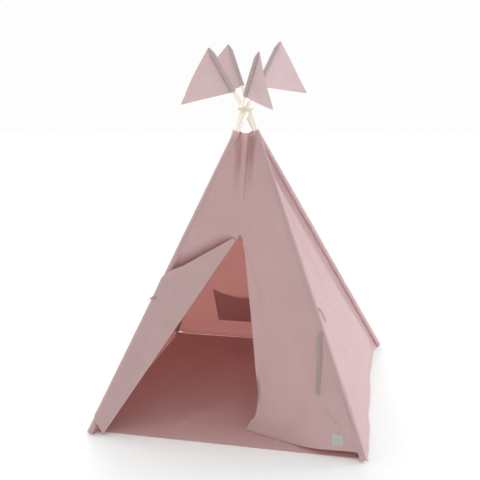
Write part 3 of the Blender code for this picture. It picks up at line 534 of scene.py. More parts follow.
# %% [markdown]
# ## The surface of a wall
# A wall hangs between two sleeves. It leaves each sleeve on its outer side, sinks back a few
# millimetres, sags inward in its middle where nothing holds it, and gathers into soft folds
# that run up to the narrow top. One function gives any point of it, so that the pocket, the
# label and the flaps can be laid on the same surface.

# %% Wall surface
SIDES = {"front": ("front_left", "front_right", Vector((0, -1, 0))),
         "right": ("front_right", "back_right", Vector((1, 0, 0))),
         "back": ("back_right", "back_left", Vector((0, 1, 0))),
         "left": ("back_left", "front_left", Vector((-1, 0, 0)))}
HEM_HEIGHT = 0.004
TOP_HEM_HEIGHT = 1.262
SLOPE = math.hypot(HALF_BASE, CROSSING_HEIGHT) / CROSSING_HEIGHT
WALL_STAND_OUT = 0.004
# How far out on its two sleeves each wall is sewn, as shares of their radius
SEAM_SHARES = {"front": (0.74, 0.98), "right": (0.92, -0.65), "back": (0.15, 0.55), "left": (0.55, 0.85)}
EDGE_FALL = 0.040
WALL_SAGS = {"front": 0.012, "right": 0.026, "back": 0.012, "left": 0.012}
FOLD_DEPTH = 0.009
FOLD_COUNT = 3
FOLD_SLANT = 0.35
CREASE_END_SHARE = 0.25


def wall_normal(side):
    """Outward direction square to a wall."""
    return (SIDES[side][2] + UP * HALF_BASE / CROSSING_HEIGHT).normalized()


def half_chord(side, height, stand_out):
    """Level distance from a pole's axis to its sleeve's face, where cloth stands out so far."""
    left = SIDES[side][0]
    along = UP.cross(SIDES[side][2]).dot(upward[left])
    slant = wall_normal(side).dot(upward[left]) * stand_out
    radius = sleeve_radius(height)
    level = 1 - along ** 2
    across = along * slant
    return (across + math.sqrt(across ** 2 - level * (stand_out ** 2 - slant ** 2 - radius ** 2))) / level


def wall_edges(side, height):
    """Where a wall's cloth meets its two sleeves at a height."""
    left, right, _ = SIDES[side]
    start, stop = axis_at(left, height), axis_at(right, height)
    way = (stop - start).normalized()
    out = wall_normal(side) * WALL_STAND_OUT
    half = way * half_chord(side, height, WALL_STAND_OUT)
    return start + out + half, stop + out - half


def wall_width(side, height):
    """Width of a wall between its sleeves at a height."""
    start, stop = wall_edges(side, height)
    return (stop - start).length


def wall_fold(side, across, up):
    """How far the cloth hangs in from flat."""
    phase = FOLD_COUNT * (across + FOLD_SLANT * (up - 0.5))
    wave = (1 - math.cos(TURN * phase)) / 2
    taper = 1 - smoothstep(up) / 2
    return WALL_SAGS[side] * arch(across) * arch(up) + FOLD_DEPTH * arch(across) ** 2 * wave * taper


def wall_point(side, across, height, lift=0.0, folded=1.0, fillet=1.0):
    """Point of a wall, lifted outward; fillet is how far it climbs onto the sleeves."""
    start, stop = wall_edges(side, height)
    way = stop - start
    width = way.length
    near = min(across, 1 - across) * width
    climb = fillet * fade(near, 0, EDGE_FALL)
    edge_out = sleeve_radius(height) * SEAM_SHARES[side][across > 0.5]
    rise = climb * (edge_out - WALL_STAND_OUT)
    inward = climb * (half_chord(side, height, WALL_STAND_OUT) - half_chord(side, height, edge_out))
    shift = way / width * (inward if across > 0.5 else -inward)
    up = (height - HEM_HEIGHT) / (TOP_HEM_HEIGHT - HEM_HEIGHT)
    out = lift + rise - folded * wall_fold(side, across, up)
    return start + way * across + shift + wall_normal(side) * out


def creased(x, y, ends, width):
    """Share of a crease's height at a flat point, by its two ends; its end quarters fade."""
    start, stop = Vector(ends[0]), Vector(ends[1])
    way, run = stop - start, Vector((x, y)) - start
    along = run.dot(way) / way.length_squared
    ends_fade = smoothstep(along / CREASE_END_SHARE) * fade(along, 1 - CREASE_END_SHARE, CREASE_END_SHARE)
    return bell((run - way * along).length, width) * ends_fade


def share_at(side, distance, height):
    """Share of a wall's width at a distance along it from its middle, left to right."""
    start, stop = wall_edges(side, height)
    way = UP.cross(SIDES[side][2])
    low = start.dot(way)
    return (distance - low) / (stop.dot(way) - low)


print("right wall's middle sags to x =", round(wall_point("right", 0.5, 0.6).x, 3))

# %% [markdown]
# ## The pocket's place
# The pocket is sewn to the back wall on three sides, and its thread holds the wall flat
# there. The wall's folds therefore fade out round it.

# %% Pocket's measures
CLOTH_LAYER = 0.0019
POCKET_LEFT, POCKET_RIGHT = -0.315, 0.030
POCKET_FOOT_HEIGHT = 0.115
POCKET_TOP_HEIGHT = 0.336
POCKET_DROOP = 0.028
POCKET_BELLY = 0.026
POCKET_ROUNDNESS = 0.7
POCKET_PLEAT, POCKET_PLEAT_SIZE, POCKET_PLEAT_TALLNESS = 0.004, 0.060, 0.4
POCKET_SEED = 21
POCKET_MARGIN = 0.090


def beyond_pocket(x, height):
    """How folded the back wall may be: flat behind the pocket, full away from it."""
    beside = max(POCKET_LEFT - x, x - POCKET_RIGHT, 0)
    above = max(POCKET_FOOT_HEIGHT - height, height - POCKET_TOP_HEIGHT, 0)
    return smoothstep(math.hypot(beside, above) / POCKET_MARGIN - 1)


# %% [markdown]
# ## Three plain walls
# The left, right and back walls are whole cloths, hemmed below and above and sewn to their
# sleeves. On top of the large folds they have the small unevenness of cloth that was packed
# away in a bag, which fades out at the seams.

# %% Left, right and back walls
WALL_SEEDS = {"front": 1, "right": 2, "back": 3, "left": 4}
SEAM_REACH = 0.050
FOOT_TUCKS = {"right": 0.034, "back": 0.020, "left": 0.020}
FOOT_TUCK_HEIGHTS = {"right": 0.110, "back": 0.026, "left": 0.026}
CORNER_REACH = 0.060
CORNER_DROP = 0.003
FLOOR_CLEARANCE = 0.0013
TOP_EDGE_SAGS = {"front": 0.002, "right": 0.004, "back": 0.014, "left": 0.005}
TOP_SAG_HEIGHT = 0.112
# The right wall's foot is pushed in more toward the back, and flares a little in front
FOOT_TUCK_REACH = 0.85
FRONT_FLARE = 0.006
# A hollow runs up it beside the back sleeve, and a crease crosses it low down
BACK_VALLEY_DEPTH = 0.028
BACK_VALLEY_NEAR, BACK_VALLEY_FAR = 0.014, 0.120
BACK_VALLEY_RISE = 0.080
RIGHT_CREASE = ((-0.334, 0.183), (-0.071, 0.058))
RIGHT_CREASE_HEIGHT, RIGHT_CREASE_WIDTH = 0.010, 0.015
# Share of a wall's small unevenness that is left where the pocket holds it flat
HELD_RELIEF_SHARE = 0.3


def wall_relief(side, across, height):
    """Small unevenness of a wall's cloth, none at its seams."""
    away = smoothstep(min(across, 1 - across) * wall_width(side, height) / SEAM_REACH)
    return crumple(wall_point(side, across, height, 0, 0, 0), WALL_SEEDS[side]) * away


def wall_size(side):
    """Foot width and slope length of a wall's cloth."""
    return wall_width(side, HEM_HEIGHT), (TOP_HEM_HEIGHT - HEM_HEIGHT) * SLOPE


def wall_area(side):
    """Area of a wall's trapezoid."""
    width, length = wall_size(side)
    return (width + wall_width(side, TOP_HEM_HEIGHT)) / 2 * length


def settled(spot, side, across, height):
    """The spot kept off the floor, or let down where the top edge sags between its sleeves."""
    spot.z = max(spot.z, FLOOR_CLEARANCE)
    top = TOP_HEM_HEIGHT - TOP_SAG_HEIGHT
    return spot - UP * TOP_EDGE_SAGS[side] * arch(across) * smoothstep((height - top) / TOP_SAG_HEIGHT)


def gather(piece):
    """Gives a piece a mesh of its own."""
    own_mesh(piece)


def right_wall_form(across, height, width):
    """The right wall's own hollow and crease, and how far in its foot is pushed."""
    seam = (1 - across) * width
    valley = smoothstep(seam / BACK_VALLEY_NEAR) * fade(seam, BACK_VALLEY_NEAR, BACK_VALLEY_FAR)
    valley *= smoothstep((height - HEM_HEIGHT) / BACK_VALLEY_RISE)
    start, stop = wall_edges("right", height)
    crease = creased(start.y + (stop.y - start.y) * across, height, RIGHT_CREASE, RIGHT_CREASE_WIDTH)
    tuck = FOOT_TUCKS["right"] * smoothstep(across / FOOT_TUCK_REACH) - FRONT_FLARE
    return RIGHT_CREASE_HEIGHT * crease - BACK_VALLEY_DEPTH * valley, tuck


def make_wall(side):
    """Whole cloth between two sleeves."""
    flat = wall_size(side)

    def point(across, up):
        height = HEM_HEIGHT + up * (TOP_HEM_HEIGHT - HEM_HEIGHT)
        width = wall_width(side, height)
        folded = beyond_pocket(wall_point(side, across, height).x, height) if side == "back" else 1
        relief = wall_relief(side, across, height) * (HELD_RELIEF_SHARE + (1 - HELD_RELIEF_SHARE) * folded)
        own, tuck = right_wall_form(across, height, width) if side == "right" else (0, FOOT_TUCKS[side])
        spot = wall_point(side, across, height, relief + own, folded)
        away = smoothstep(min(across, 1 - across) * width / CORNER_REACH)
        low = fade(height, HEM_HEIGHT, FOOT_TUCK_HEIGHTS[side])
        spot -= SIDES[side][2] * tuck * low * away + UP * CORNER_DROP * low * (1 - away)
        return settled(spot, side, across, height)

    piece = cloth(f"{side}_wall_cloth", spaced(0, 1, 72), steps(flat[1], 120), point, flat, COVER_CANVAS,
                  f"{side}_cover", f"{side}_wall", hems="bt")
    wall_area(side)
    gather(piece)


for side in ("right", "back", "left"):
    make_wall(side)
print("walls: foot", round(wall_size("back")[0], 3), "m, slope", round(wall_size("back")[1], 3), "m")

# %% [markdown]
# ## The door's pattern
# Both flaps are cut from the front's own cloth, so the left one can be laid out flat on it.
# Folding is a mirror: the flap's lower corner goes to its mirror image across the fold line.
# The loose edge and the hem of the folded flap then run from there to the slit's top and to
# the fold's foot, and the places where they pass over the pole are where the cloth bends.

# %% Flat pattern, as distance along the hem from the left pole's foot and up the slope
SLIT_TOP_X = 0.018
SLIT_TOP_HEIGHT = 0.838
LEFT_FOLD_FOOT_X = 0.536
RIGHT_FOLD_FOOT_X = 0.563
SLIT_FOOT_X = -0.020
SLIT_HEIGHT = SLIT_TOP_HEIGHT - HEM_HEIGHT
SEAT_GAP = 0.0003
along_pole = Vector((HALF_BASE, CROSSING_HEIGHT * SLOPE)).normalized()
across_pole = Vector((along_pole.y, -along_pole.x))
slit_top = Vector((HALF_BASE + SLIT_TOP_X, SLIT_TOP_HEIGHT * SLOPE))
fold_foot = Vector((HALF_BASE - LEFT_FOLD_FOOT_X, HEM_HEIGHT * SLOPE))
fold_way = (slit_top - fold_foot).normalized()
unfolded = Vector((HALF_BASE + SLIT_FOOT_X, HEM_HEIGHT * SLOPE)) - fold_foot
flap_corner = fold_foot + fold_way * (2 * unfolded.dot(fold_way)) - unfolded


def meets_pole(start, stop):
    """Flat point where a line crosses the left pole's axis."""
    before, after = start.dot(across_pole), stop.dot(across_pole)
    return start.lerp(stop, before / (before - after))


# The worn flap's edge has slipped a little way down the pole
EDGE_SLIP = 0.020
# Shares of the way to the pole: the loose edge has risen, settles again, and lies down past it
EDGE_RISEN, EDGE_SETTLES, EDGE_AT_POLE, EDGE_LIES = 0.80, 0.82, 1.0, 1.3
EDGE_SETTLED_SHARE = 0.15
edge_bend = meets_pole(slit_top, flap_corner) - along_pole * EDGE_SLIP
hem_bend = meets_pole(fold_foot, flap_corner)


def stands_off(down):
    """How far the loose edge stands off the wall, 0 to 1, by its share of the way to the pole."""
    settling = fade(down, EDGE_SETTLES, EDGE_AT_POLE - EDGE_SETTLES)
    high = EDGE_SETTLED_SHARE + (1 - EDGE_SETTLED_SHARE) * settling
    return smoothstep(down / EDGE_RISEN) * high * fade(down, EDGE_AT_POLE, EDGE_LIES - EDGE_AT_POLE)


def off_loose_edge(flat):
    """Share of the way down the folded flap's loose edge to the pole, and distance above it."""
    way = edge_bend - slit_top
    run = flat - slit_top
    return run.dot(way) / way.length_squared, run.dot(Vector((way.y, -way.x)).normalized())


print("folded flap's edge meets the pole", round(edge_bend.dot(along_pole), 3), "m up it")

# %% [markdown]
# ## Front wall
# The front is cut from one cloth as well. Its door is a tall slit: below the slit's top the
# cloth is cut open, and the two flaps turn away along slanting lines, the right one narrow,
# the left one folded back. The flat cloth is cut with two straight lines before it is hung,
# as a tailor would cut it. Above the slit the right half laps a little over the left.

# %% Front wall
LAP_HEIGHT = 0.0055
LAP_REACH = 0.030
LAP_EDGE = 0.0035
# Shares of the way from the slit's top to the wall's top
LAP_RISE_SHARE, LAP_END_SHARE = 1 / 6, 1 / 2
FULL_FOLD_SHARE = 1 / 2
GATHER_DEPTH = 0.034
GATHER_FOOT_HEIGHT = 0.950
GATHER_EASE = 0.06
# Beside the slit's line: the left hollow's middle, width and share, and the right one's two flanks
GATHER_LEFT, GATHER_LEFT_WIDTH, GATHER_LEFT_SHARE = -0.036, 0.011, 0.8
GATHER_RIGHT, GATHER_RIGHT_RISE = -0.001, 0.003
GATHER_RIGHT_END, GATHER_RIGHT_FALL = 0.010, 0.034
HEM_CLEARANCE = 0.026
HEM_REACH = 0.75
HEM_FALL_SHARE = 0.24
HEM_DRAW = 0.016
HEM_DRAW_HEIGHT = 0.110
# The hollow and the groove along the folded flap's edge: depth, distance above it and width
EDGE_HOLLOW = (0.030, 0.006, 0.034)
EDGE_GROOVE = (0.044, -0.003, 0.013)
HOLLOW_START, HOLLOW_RISE = 0.03, 0.25
SLEEVE_MARGIN = 0.012
FOOT_PRESS, FOOT_PRESS_REACH, FOOT_PRESS_HEIGHT = 0.045, 0.030, 0.120
# The cloth is cut fuller than its place, for the gathers at its top and the hollows beside the flap
FRONT_FULLNESS = 1.15
PULL_CREASE = ((0.395, 0.212), (0.578, 0.058))
PULL_DEPTH, PULL_WIDTH = 0.004, 0.007
STRIP_RELIEF_SHARE = 0.35
CUT_TOLERANCE = 0.0001


def fold_line(foot_x, share):
    """Distance along the front and height of a door flap's fold line, from hem to slit top."""
    return foot_x + (SLIT_TOP_X - foot_x) * share, HEM_HEIGHT + SLIT_HEIGHT * share


def lap(x, height):
    """How far the cloth stands out where the right half laps over the left, above the slit."""
    share = (height - SLIT_TOP_HEIGHT) / (TOP_HEM_HEIGHT - SLIT_TOP_HEIGHT)
    off = x - SLIT_TOP_X
    reach = LAP_REACH if off > 0 else LAP_EDGE
    return LAP_HEIGHT * smoothstep(share / LAP_RISE_SHARE) * fade(share, 0, LAP_END_SHARE) * bell(off, reach)


def gathered(x, height):
    """How far the cloth is drawn in under the crossing, on both sides of a narrow standing fold."""
    run = max(0, height - GATHER_FOOT_HEIGHT) / (TOP_HEM_HEIGHT - GATHER_FOOT_HEIGHT)
    off = x - SLIT_TOP_X
    left = GATHER_LEFT_SHARE * bell(off - GATHER_LEFT, GATHER_LEFT_WIDTH)
    right = smoothstep((off - GATHER_RIGHT) / GATHER_RIGHT_RISE)
    right *= fade(off, GATHER_RIGHT_END, GATHER_RIGHT_FALL)
    return GATHER_DEPTH * run * smoothstep(run / GATHER_EASE) * max(left, right)


def raised(across, share):
    """Share of the slit's height where the cloth hangs: its hem is clear of the floor at the pole."""
    return share + HEM_CLEARANCE / SLIT_HEIGHT * fade(across, 0, HEM_REACH) * fade(share, 0, HEM_FALL_SHARE)


def clear_of_floor(x, height):
    """Where a point of the wall's right strip hangs, its place between fold and sleeve kept."""
    low = (height - HEM_HEIGHT) / SLIT_HEIGHT
    new_fold, new_height = fold_line(RIGHT_FOLD_FOOT_X, raised(0, low))
    old_fold = fold_line(RIGHT_FOLD_FOOT_X, low)[0]
    old_edge, new_edge = wall_edges("front", height)[1].x, wall_edges("front", new_height)[1].x
    return new_fold + (x - old_fold) / (old_edge - old_fold) * (new_edge - new_fold), new_height


def pulled(x, height):
    """How far the cloth is drawn in along the crease that runs down to the right pole's foot."""
    return PULL_DEPTH * creased(x, height, PULL_CREASE, PULL_WIDTH)


def drawn_in(height):
    """How far the front's hem is drawn in over the mat, by the height above the floor."""
    return HEM_DRAW * fade(height, 0, HEM_DRAW_HEIGHT)


def pressed_in(x, height):
    """How far the left strip is pushed in above the folded flap's loose edge and below its hem."""
    if height > SLIT_TOP_HEIGHT or x > 0:
        return 0.0
    down, above = off_loose_edge(Vector((HALF_BASE + x, height * SLOPE)))
    hollow = sum(depth * bell(above - middle, width) for depth, middle, width in (EDGE_HOLLOW, EDGE_GROOVE))
    inner = fold_line(-LEFT_FOLD_FOOT_X, (height - HEM_HEIGHT) / SLIT_HEIGHT)[0]
    foot_push = FOOT_PRESS * smoothstep((inner - x) / FOOT_PRESS_REACH) * fade(height, 0, FOOT_PRESS_HEIGHT)
    beside_sleeve = smoothstep((x - wall_edges("front", height)[0].x) / SLEEVE_MARGIN)
    return max(hollow * smoothstep((down - HOLLOW_START) / HOLLOW_RISE), foot_push) * beside_sleeve


def cut_door(shape, slit_top_y):
    """Cuts the flat front along both fold lines and takes out the cloth between them."""
    for foot_x in (-LEFT_FOLD_FOOT_X, RIGHT_FOLD_FOOT_X):
        run = Vector((SLIT_TOP_X - foot_x, SLIT_HEIGHT * SLOPE, 0))
        below = [face for face in shape.faces if face.calc_center_median().y < slit_top_y]
        parts = list({part for face in below for part in (*face.verts, *face.edges)}) + below
        bmesh.ops.bisect_plane(shape, geom=parts, dist=CUT_TOLERANCE, plane_co=(foot_x, 0, 0),
                               plane_no=(run.y, -run.x, 0))
    door = []
    for face in shape.faces:
        middle = face.calc_center_median()
        share = middle.y / SLOPE / SLIT_HEIGHT
        left, right = (fold_line(foot_x, share)[0] for foot_x in (-LEFT_FOLD_FOOT_X, RIGHT_FOLD_FOOT_X))
        if share < 1 and left < middle.x < right:
            door.append(face)
    bmesh.ops.delete(shape, geom=door, context="FACES")


def front_point(x, height):
    """Point of the front wall at a distance along it from its middle and a height."""
    side, drawn = "front", 0.0
    if x > fold_line(RIGHT_FOLD_FOOT_X, (height - HEM_HEIGHT) / SLIT_HEIGHT)[0] and height < SLIT_TOP_HEIGHT:
        x, height = clear_of_floor(x, height)
        drawn = drawn_in(height) * smoothstep((wall_edges(side, height)[1].x - x) / SLEEVE_MARGIN)
    across = share_at(side, x, height)
    above = (height - SLIT_TOP_HEIGHT) / (TOP_HEM_HEIGHT - SLIT_TOP_HEIGHT)
    folded = smoothstep(above / FULL_FOLD_SHARE)
    relief = wall_relief(side, across, height) * (STRIP_RELIEF_SHARE + (1 - STRIP_RELIEF_SHARE) * folded)
    relief += lap(x, height) - gathered(x, height) - pressed_in(x, height) - pulled(x, height)
    spot = wall_point(side, across, height, relief, folded) - SIDES[side][2] * drawn
    return settled(spot, side, across, height)


def make_front_wall():
    """Cloth with a tall triangular door."""
    length = wall_size("front")[1]
    slit_share = SLIT_HEIGHT / (TOP_HEM_HEIGHT - HEM_HEIGHT)
    hem, inside = HEM_WIDTH / length, (HEM_WIDTH + HEM_EDGE) / length
    lines = [0, hem] + spaced(inside, slit_share, 88)
    lines += spaced(slit_share, 1 - inside, 56)[1:] + [1 - hem, 1]
    shape = flat_grid(spaced(0, 1, 144), lines, 1, length)
    # The grid's own width is drawn in to the wall's at each height, so the cuts are straight
    for vertex in shape.verts:
        low, high = wall_edges("front", HEM_HEIGHT + vertex.co.y / SLOPE)
        vertex.co.x = low.x + (high.x - low.x) * vertex.co.x
    cut_door(shape, slit_share * length)
    piece = hang(shape, "front_wall_cloth", lambda x, y: front_point(x, HEM_HEIGHT + y / SLOPE),
                 hemmed("bt", 1, length), COVER_CANVAS, "front_cover", "front_wall")
    # Two strips and a panel fill little of their rectangle, so the width of a fuller rectangle of equal area
    # is worked out
    door_area = (LEFT_FOLD_FOOT_X + RIGHT_FOLD_FOOT_X) / 2 * SLIT_HEIGHT * SLOPE
    width = FRONT_FULLNESS * (wall_area("front") - door_area) / length
    gather(piece)


make_front_wall()
print("front wall: slit", SLIT_TOP_HEIGHT, "m high")

# %% [markdown]
# ## Right flap
# The right half of the door hangs shut. Its foot is drawn inside, so its lower corner lies
# on the mat, and the loose edge swings in a slow curve from there up to the slit's top. It
# leaves the wall without a step, because it is the same cloth.

# %% Right flap
FLAP_TOP_SHARE = 0.965
FLAP_CORNER_REST = 0.160
FLAP_EDGE_DRIFT = 0.111
FLAP_EDGE_SHARES = (
    (0.000, 0.45, 1.00), (0.059, 0.72, 0.84), (0.086, 0.88, 0.75), (0.127, 0.96, 0.66),
    (0.180, 1.00, 0.56), (0.250, 0.98, 0.47), (0.330, 0.89, 0.37), (0.560, 0.66, 0.19),
    (0.760, 0.42, 0.07), (0.900, 0.25, 0.03), (1.000, 0.00, 0.00))
FLAP_WAVE = 0.010
FLAP_WAVE_COUNT = 1.25
FLAP_WAVE_START_SHARE = 0.3
FLAP_HEM_DRAW_SHARE = 0.5
MAT_THICKNESS = 0.003
MAT_CLEARANCE = 0.002


def between(shares, column, share):
    """Value in a column of a table at a share, eased from row to row."""
    for low, high in zip(shares, shares[1:]):
        if share <= high[0]:
            return low[column] + (high[column] - low[column]) * (share - low[0]) / (high[0] - low[0])
    return shares[-1][column]


def right_flap_ends(share):
    """Where the right flap's fold line and its loose edge lie at a share of the slit's height."""
    fold_x = fold_line(RIGHT_FOLD_FOOT_X, share)[0] - SEAT_GAP
    return fold_x, SLIT_TOP_X + FLAP_EDGE_DRIFT * between(FLAP_EDGE_SHARES, 1, share)


def right_flap_point(across, up, lift=0.0):
    """Right flap from its fold line (0) to its loose edge (1), its corner drawn in on the mat."""
    share = raised(across, up * FLAP_TOP_SHARE)
    height = HEM_HEIGHT + SLIT_HEIGHT * share
    fold_x, edge_x = right_flap_ends(share)
    x = fold_x + (edge_x - fold_x) * across
    wall_share = share_at("front", x, height)
    drawn = FLAP_CORNER_REST * between(FLAP_EDGE_SHARES, 2, share) * across ** 2 * (2 - across)
    drawn += drawn_in(height) * fade(across, 0, FLAP_HEM_DRAW_SHARE)
    loose = math.sin(math.pi * across) * smoothstep(across / FLAP_WAVE_START_SHARE) * (1 - share)
    wave = FLAP_WAVE * loose * math.sin(math.pi * (2 * FLAP_WAVE_COUNT * across + share))
    relief = STRIP_RELIEF_SHARE * wall_relief("front", wall_share, height) - pulled(x, height)
    spot = wall_point("front", wall_share, height, 0, 0) + wall_normal("front") * (lift + wave + relief)
    spot.y += drawn
    spot.z = max(spot.z, MAT_THICKNESS + MAT_CLEARANCE)
    return spot


def make_right_flap():
    """Closed half of the door."""
    width = RIGHT_FOLD_FOOT_X - SLIT_TOP_X
    length = SLIT_HEIGHT * SLOPE * FLAP_TOP_SHARE

    def hem_at(x, y):
        return min((y, x), ((width - x) * (1 - FLAP_TOP_SHARE * y / length), y))

    shape = flat_grid(steps(width, 60, low_hem=False), steps(length, 90, high_hem=False), width, length)
    piece = hang(shape, "right_flap_cloth", lambda x, y: right_flap_point(x / width, y / length), hem_at,
                 COVER_CANVAS, "right_flap", "right_flap")
    gather(piece)


make_right_flap()
print("right flap's corner rests at", [round(c, 3) for c in right_flap_point(1, 0)])

# %% [markdown]
# ## Left flap
# The left half of the door is folded back over the outside of the wall and round the left
# pole, where a tie holds it. Folding is a mirror: each flat point of the flap goes to its
# mirror image across the fold line. From there it is wrapped over the sleeve and comes down
# on the left wall. Its part round the corner is a piece of its own, as it can unbend.

# %% Left flap
FLAP_LOOSENESS = 0.0010
FLAP_BRIDGE = 0.045
FLAP_PRESS = 0.060
# Height, size of the hollows and distance from the fold where the loose cloth's unevenness is full
FLAP_UNEVENNESS, FLAP_HOLLOWS, FLAP_FOLD_REACH = 0.0030, 0.130, 0.120
FLAP_CREASES, FLAP_CREASE_SIZE, FLAP_CREASE_BIAS = 0.0008, 0.045, 0.6
FLAP_SEED = 11
PRESSED_RELIEF_SHARE = 0.4
EDGE_LIFT, EDGE_LIFT_REACH = 0.009, 0.110
# Shares of the flap's width close to the pole, where the cloth bends most
WRAP_SHARE, TIP_WRAP_SHARE = 0.18, 0.12
WRAP_COLUMNS, LYING_COLUMNS = 12, 40
flap_faces = {}
for face_name, level in (("front", Vector((1, 0, 0))), ("left", Vector((0, 1, 0)))):
    pole_way = upward["front_left"]
    beside = (level - pole_way * level.dot(pole_way)).normalized()
    facing = beside.cross(pole_way).normalized()
    if facing.dot(wall_normal(face_name)) < 0:
        facing = -facing
    flap_faces[face_name] = (beside, facing)
wrap_turn = flap_faces["front"][1].angle(flap_faces["left"][1])


def folded_flap_point(flat, lift=0.0):
    """Point in space of a flat point of the folded flap, wrapped over the sleeve."""
    off = flat.dot(across_pole)
    face_name = "front" if off > 0 else "left"
    beside, facing = flap_faces[face_name]
    distance = abs(off)
    level = HALF_BASE - flat.dot(along_pole) * along_pole.x - distance * across_pole.x
    rise = flat.dot(along_pole) * along_pole.y + distance * across_pole.y
    height = rise / SLOPE
    side = 1 if face_name == "left" else -1
    share = share_at(face_name, side * level, height)
    lying = wall_point(face_name, share, height, CLOTH_LAYER + lift, 0, 0)
    pole_height = flat.dot(along_pole) * LEAN_COSINE
    radius = sleeve_radius(pole_height) + FLAP_LOOSENESS + CLOTH_THICKNESS / 2 + lift
    axis = axis_at("front_left", pole_height)
    arc = radius * wrap_turn / 2
    if distance < arc:
        middle = (flap_faces["front"][1] + flap_faces["left"][1]).normalized()
        aside = (beside - middle * beside.dot(middle)).normalized()
        bow = distance / radius
        return axis + radius * (middle * math.cos(bow) + aside * math.sin(bow))
    bridging = axis + facing * radius + beside * (distance - arc)
    return bridging.lerp(lying, smoothstep((distance - arc) / FLAP_BRIDGE))


def flap_relief(flat):
    """How far the folded flap's cloth stands off, most along its loose edge."""
    place = Vector((flat.x, 0, flat.y))
    run = flat - fold_foot
    from_fold = (run - fold_way * run.dot(fold_way)).length
    down, above = off_loose_edge(flat)
    off_pole = smoothstep(abs(flat.dot(across_pole)) / FLAP_PRESS)
    uneven = FLAP_UNEVENNESS * (0.5 + 0.5 * ripple(place, FLAP_HOLLOWS, FLAP_SEED))
    uneven *= smoothstep(from_fold / FLAP_FOLD_REACH) * off_pole
    creases = FLAP_CREASES * (ripple(place, FLAP_CREASE_SIZE, FLAP_SEED + 1) + FLAP_CREASE_BIAS)
    creases *= PRESSED_RELIEF_SHARE + (1 - PRESSED_RELIEF_SHARE) * off_pole
    return EDGE_LIFT * stands_off(down) * fade(-above, 0, EDGE_LIFT_REACH) + uneven + creases


def make_left_flap():
    """The flap's part on the front wall, from its fold line out over the sleeve."""
    below = (edge_bend - hem_bend).length
    length = below + (slit_top - edge_bend).length
    bend_share = below / length
    width = (hem_bend - fold_foot).length

    def place(x, y):
        share = y / length * FLAP_TOP_SHARE
        if share < bend_share:
            outer = hem_bend.lerp(edge_bend, share / bend_share)
        else:
            outer = edge_bend.lerp(slit_top, (share - bend_share) / (1 - bend_share))
        flat = (outer + across_pole * SEAT_GAP).lerp(fold_foot.lerp(slit_top, share), x / width)
        return folded_flap_point(flat, flap_relief(flat))

    columns = spaced(0, WRAP_SHARE, WRAP_COLUMNS) + spaced(WRAP_SHARE, 1, LYING_COLUMNS)[1:]
    shape = flat_grid(columns, steps(length, 90, high_hem=False), width, length)
    piece = hang(shape, "left_flap_cloth", place, hemmed("b"), COVER_CANVAS, "left_flap", "left_flap")
    # The flap is wider at its bend than at its hem, so the area of its flat outline is worked out
    corners = (fold_foot, fold_foot.lerp(slit_top, FLAP_TOP_SHARE), edge_bend, hem_bend)
    area = sum(here.cross(there) for here, there in zip(corners, corners[1:] + corners[:1])) / 2
    gather(piece)


def make_left_flap_tip():
    """The flap's corner, from the sleeve round onto the left wall."""
    length = (edge_bend - hem_bend).length
    width = (flap_corner - hem_bend).length

    def place(x, y):
        root = hem_bend.lerp(edge_bend, y / length) - across_pole * SEAT_GAP
        flat = root.lerp(flap_corner, x / width * FLAP_TOP_SHARE)
        return folded_flap_point(flat, flap_relief(flat))

    def hem_at(x, y):
        return min(y, length - y) * (1 - x / width), x

    columns = spaced(0, TIP_WRAP_SHARE, WRAP_COLUMNS) + spaced(TIP_WRAP_SHARE, 1, LYING_COLUMNS)[1:]
    shape = flat_grid(columns, steps(length, 40), width, length)
    piece = hang(shape, "left_flap_tip_cloth", place, hem_at, COVER_CANVAS, "left_flap_tip", "left_flap_tip")
    gather(piece)


make_left_flap()
make_left_flap_tip()
print("left flap: fold line", round((slit_top - fold_foot).length, 3), "m long")

# %% [markdown]
# ## Pocket
# The inner pocket is a wide patch with a loose upper edge, which droops and stands off the
# wall because the cloth was cut a little wider than its place.

# %% Pocket
def pocket_point(across, up):
    """Point of the pocket's cloth, from its left seam to its right."""
    x = POCKET_LEFT + (POCKET_RIGHT - POCKET_LEFT) * across
    middle = arch(across)
    top = POCKET_TOP_HEIGHT - POCKET_DROOP * middle
    height = POCKET_FOOT_HEIGHT + (top - POCKET_FOOT_HEIGHT) * up
    belly = POCKET_BELLY * (middle * math.sin(math.pi / 2 * up)) ** POCKET_ROUNDNESS
    tall = Vector((x, 0, height * POCKET_PLEAT_TALLNESS))
    pleat = POCKET_PLEAT * middle * up * ripple(tall, POCKET_PLEAT_SIZE, POCKET_SEED)
    return wall_point("back", share_at("back", -x, height), height, -CLOTH_LAYER - belly - pleat, 0, 0)


pocket_flat = (0.355, 0.230)
pocket = cloth("pocket_cloth", steps(pocket_flat[0], 48), steps(pocket_flat[1], 30), pocket_point,
               pocket_flat, POCKET_CANVAS, "back_cover", "inner_pocket", hems="lrbt")
gather(pocket)
print("pocket:", pocket_flat)

# %% [markdown]
# ## Floor mat
# The mat is a padded cotton square that fills the teepee's floor, with rounded corners and
# a hem. It lies on a bare floor and keeps the slight waves of its folding.

# %% Mat
# Its right edge is tucked in a little with the wall above it
MAT_LEFT, MAT_RIGHT = -0.592, 0.573
MAT_FRONT, MAT_BACK = -0.575, 0.592
MAT_CORNER = 0.019
MAT_FOLD = ((-0.30, -0.56), (0.06, 0.04))
MAT_FOLD_HEIGHT, MAT_FOLD_WIDTH = 0.009, 0.045
MAT_WAVE, MAT_WAVE_SIZE, MAT_WAVE_BIAS, MAT_FLAT_RIM = 0.0016, 0.300, 0.6, 0.060
MAT_SEED = 31


def mat_steps(length, count):
    """Shares of a side, with lines close together round the corners."""
    corner = spaced(0, MAT_CORNER / length, 6)[:-1]
    middle = spaced(MAT_CORNER / length, 1 - MAT_CORNER / length, count)
    return corner + middle + [1 - share for share in reversed(corner)]


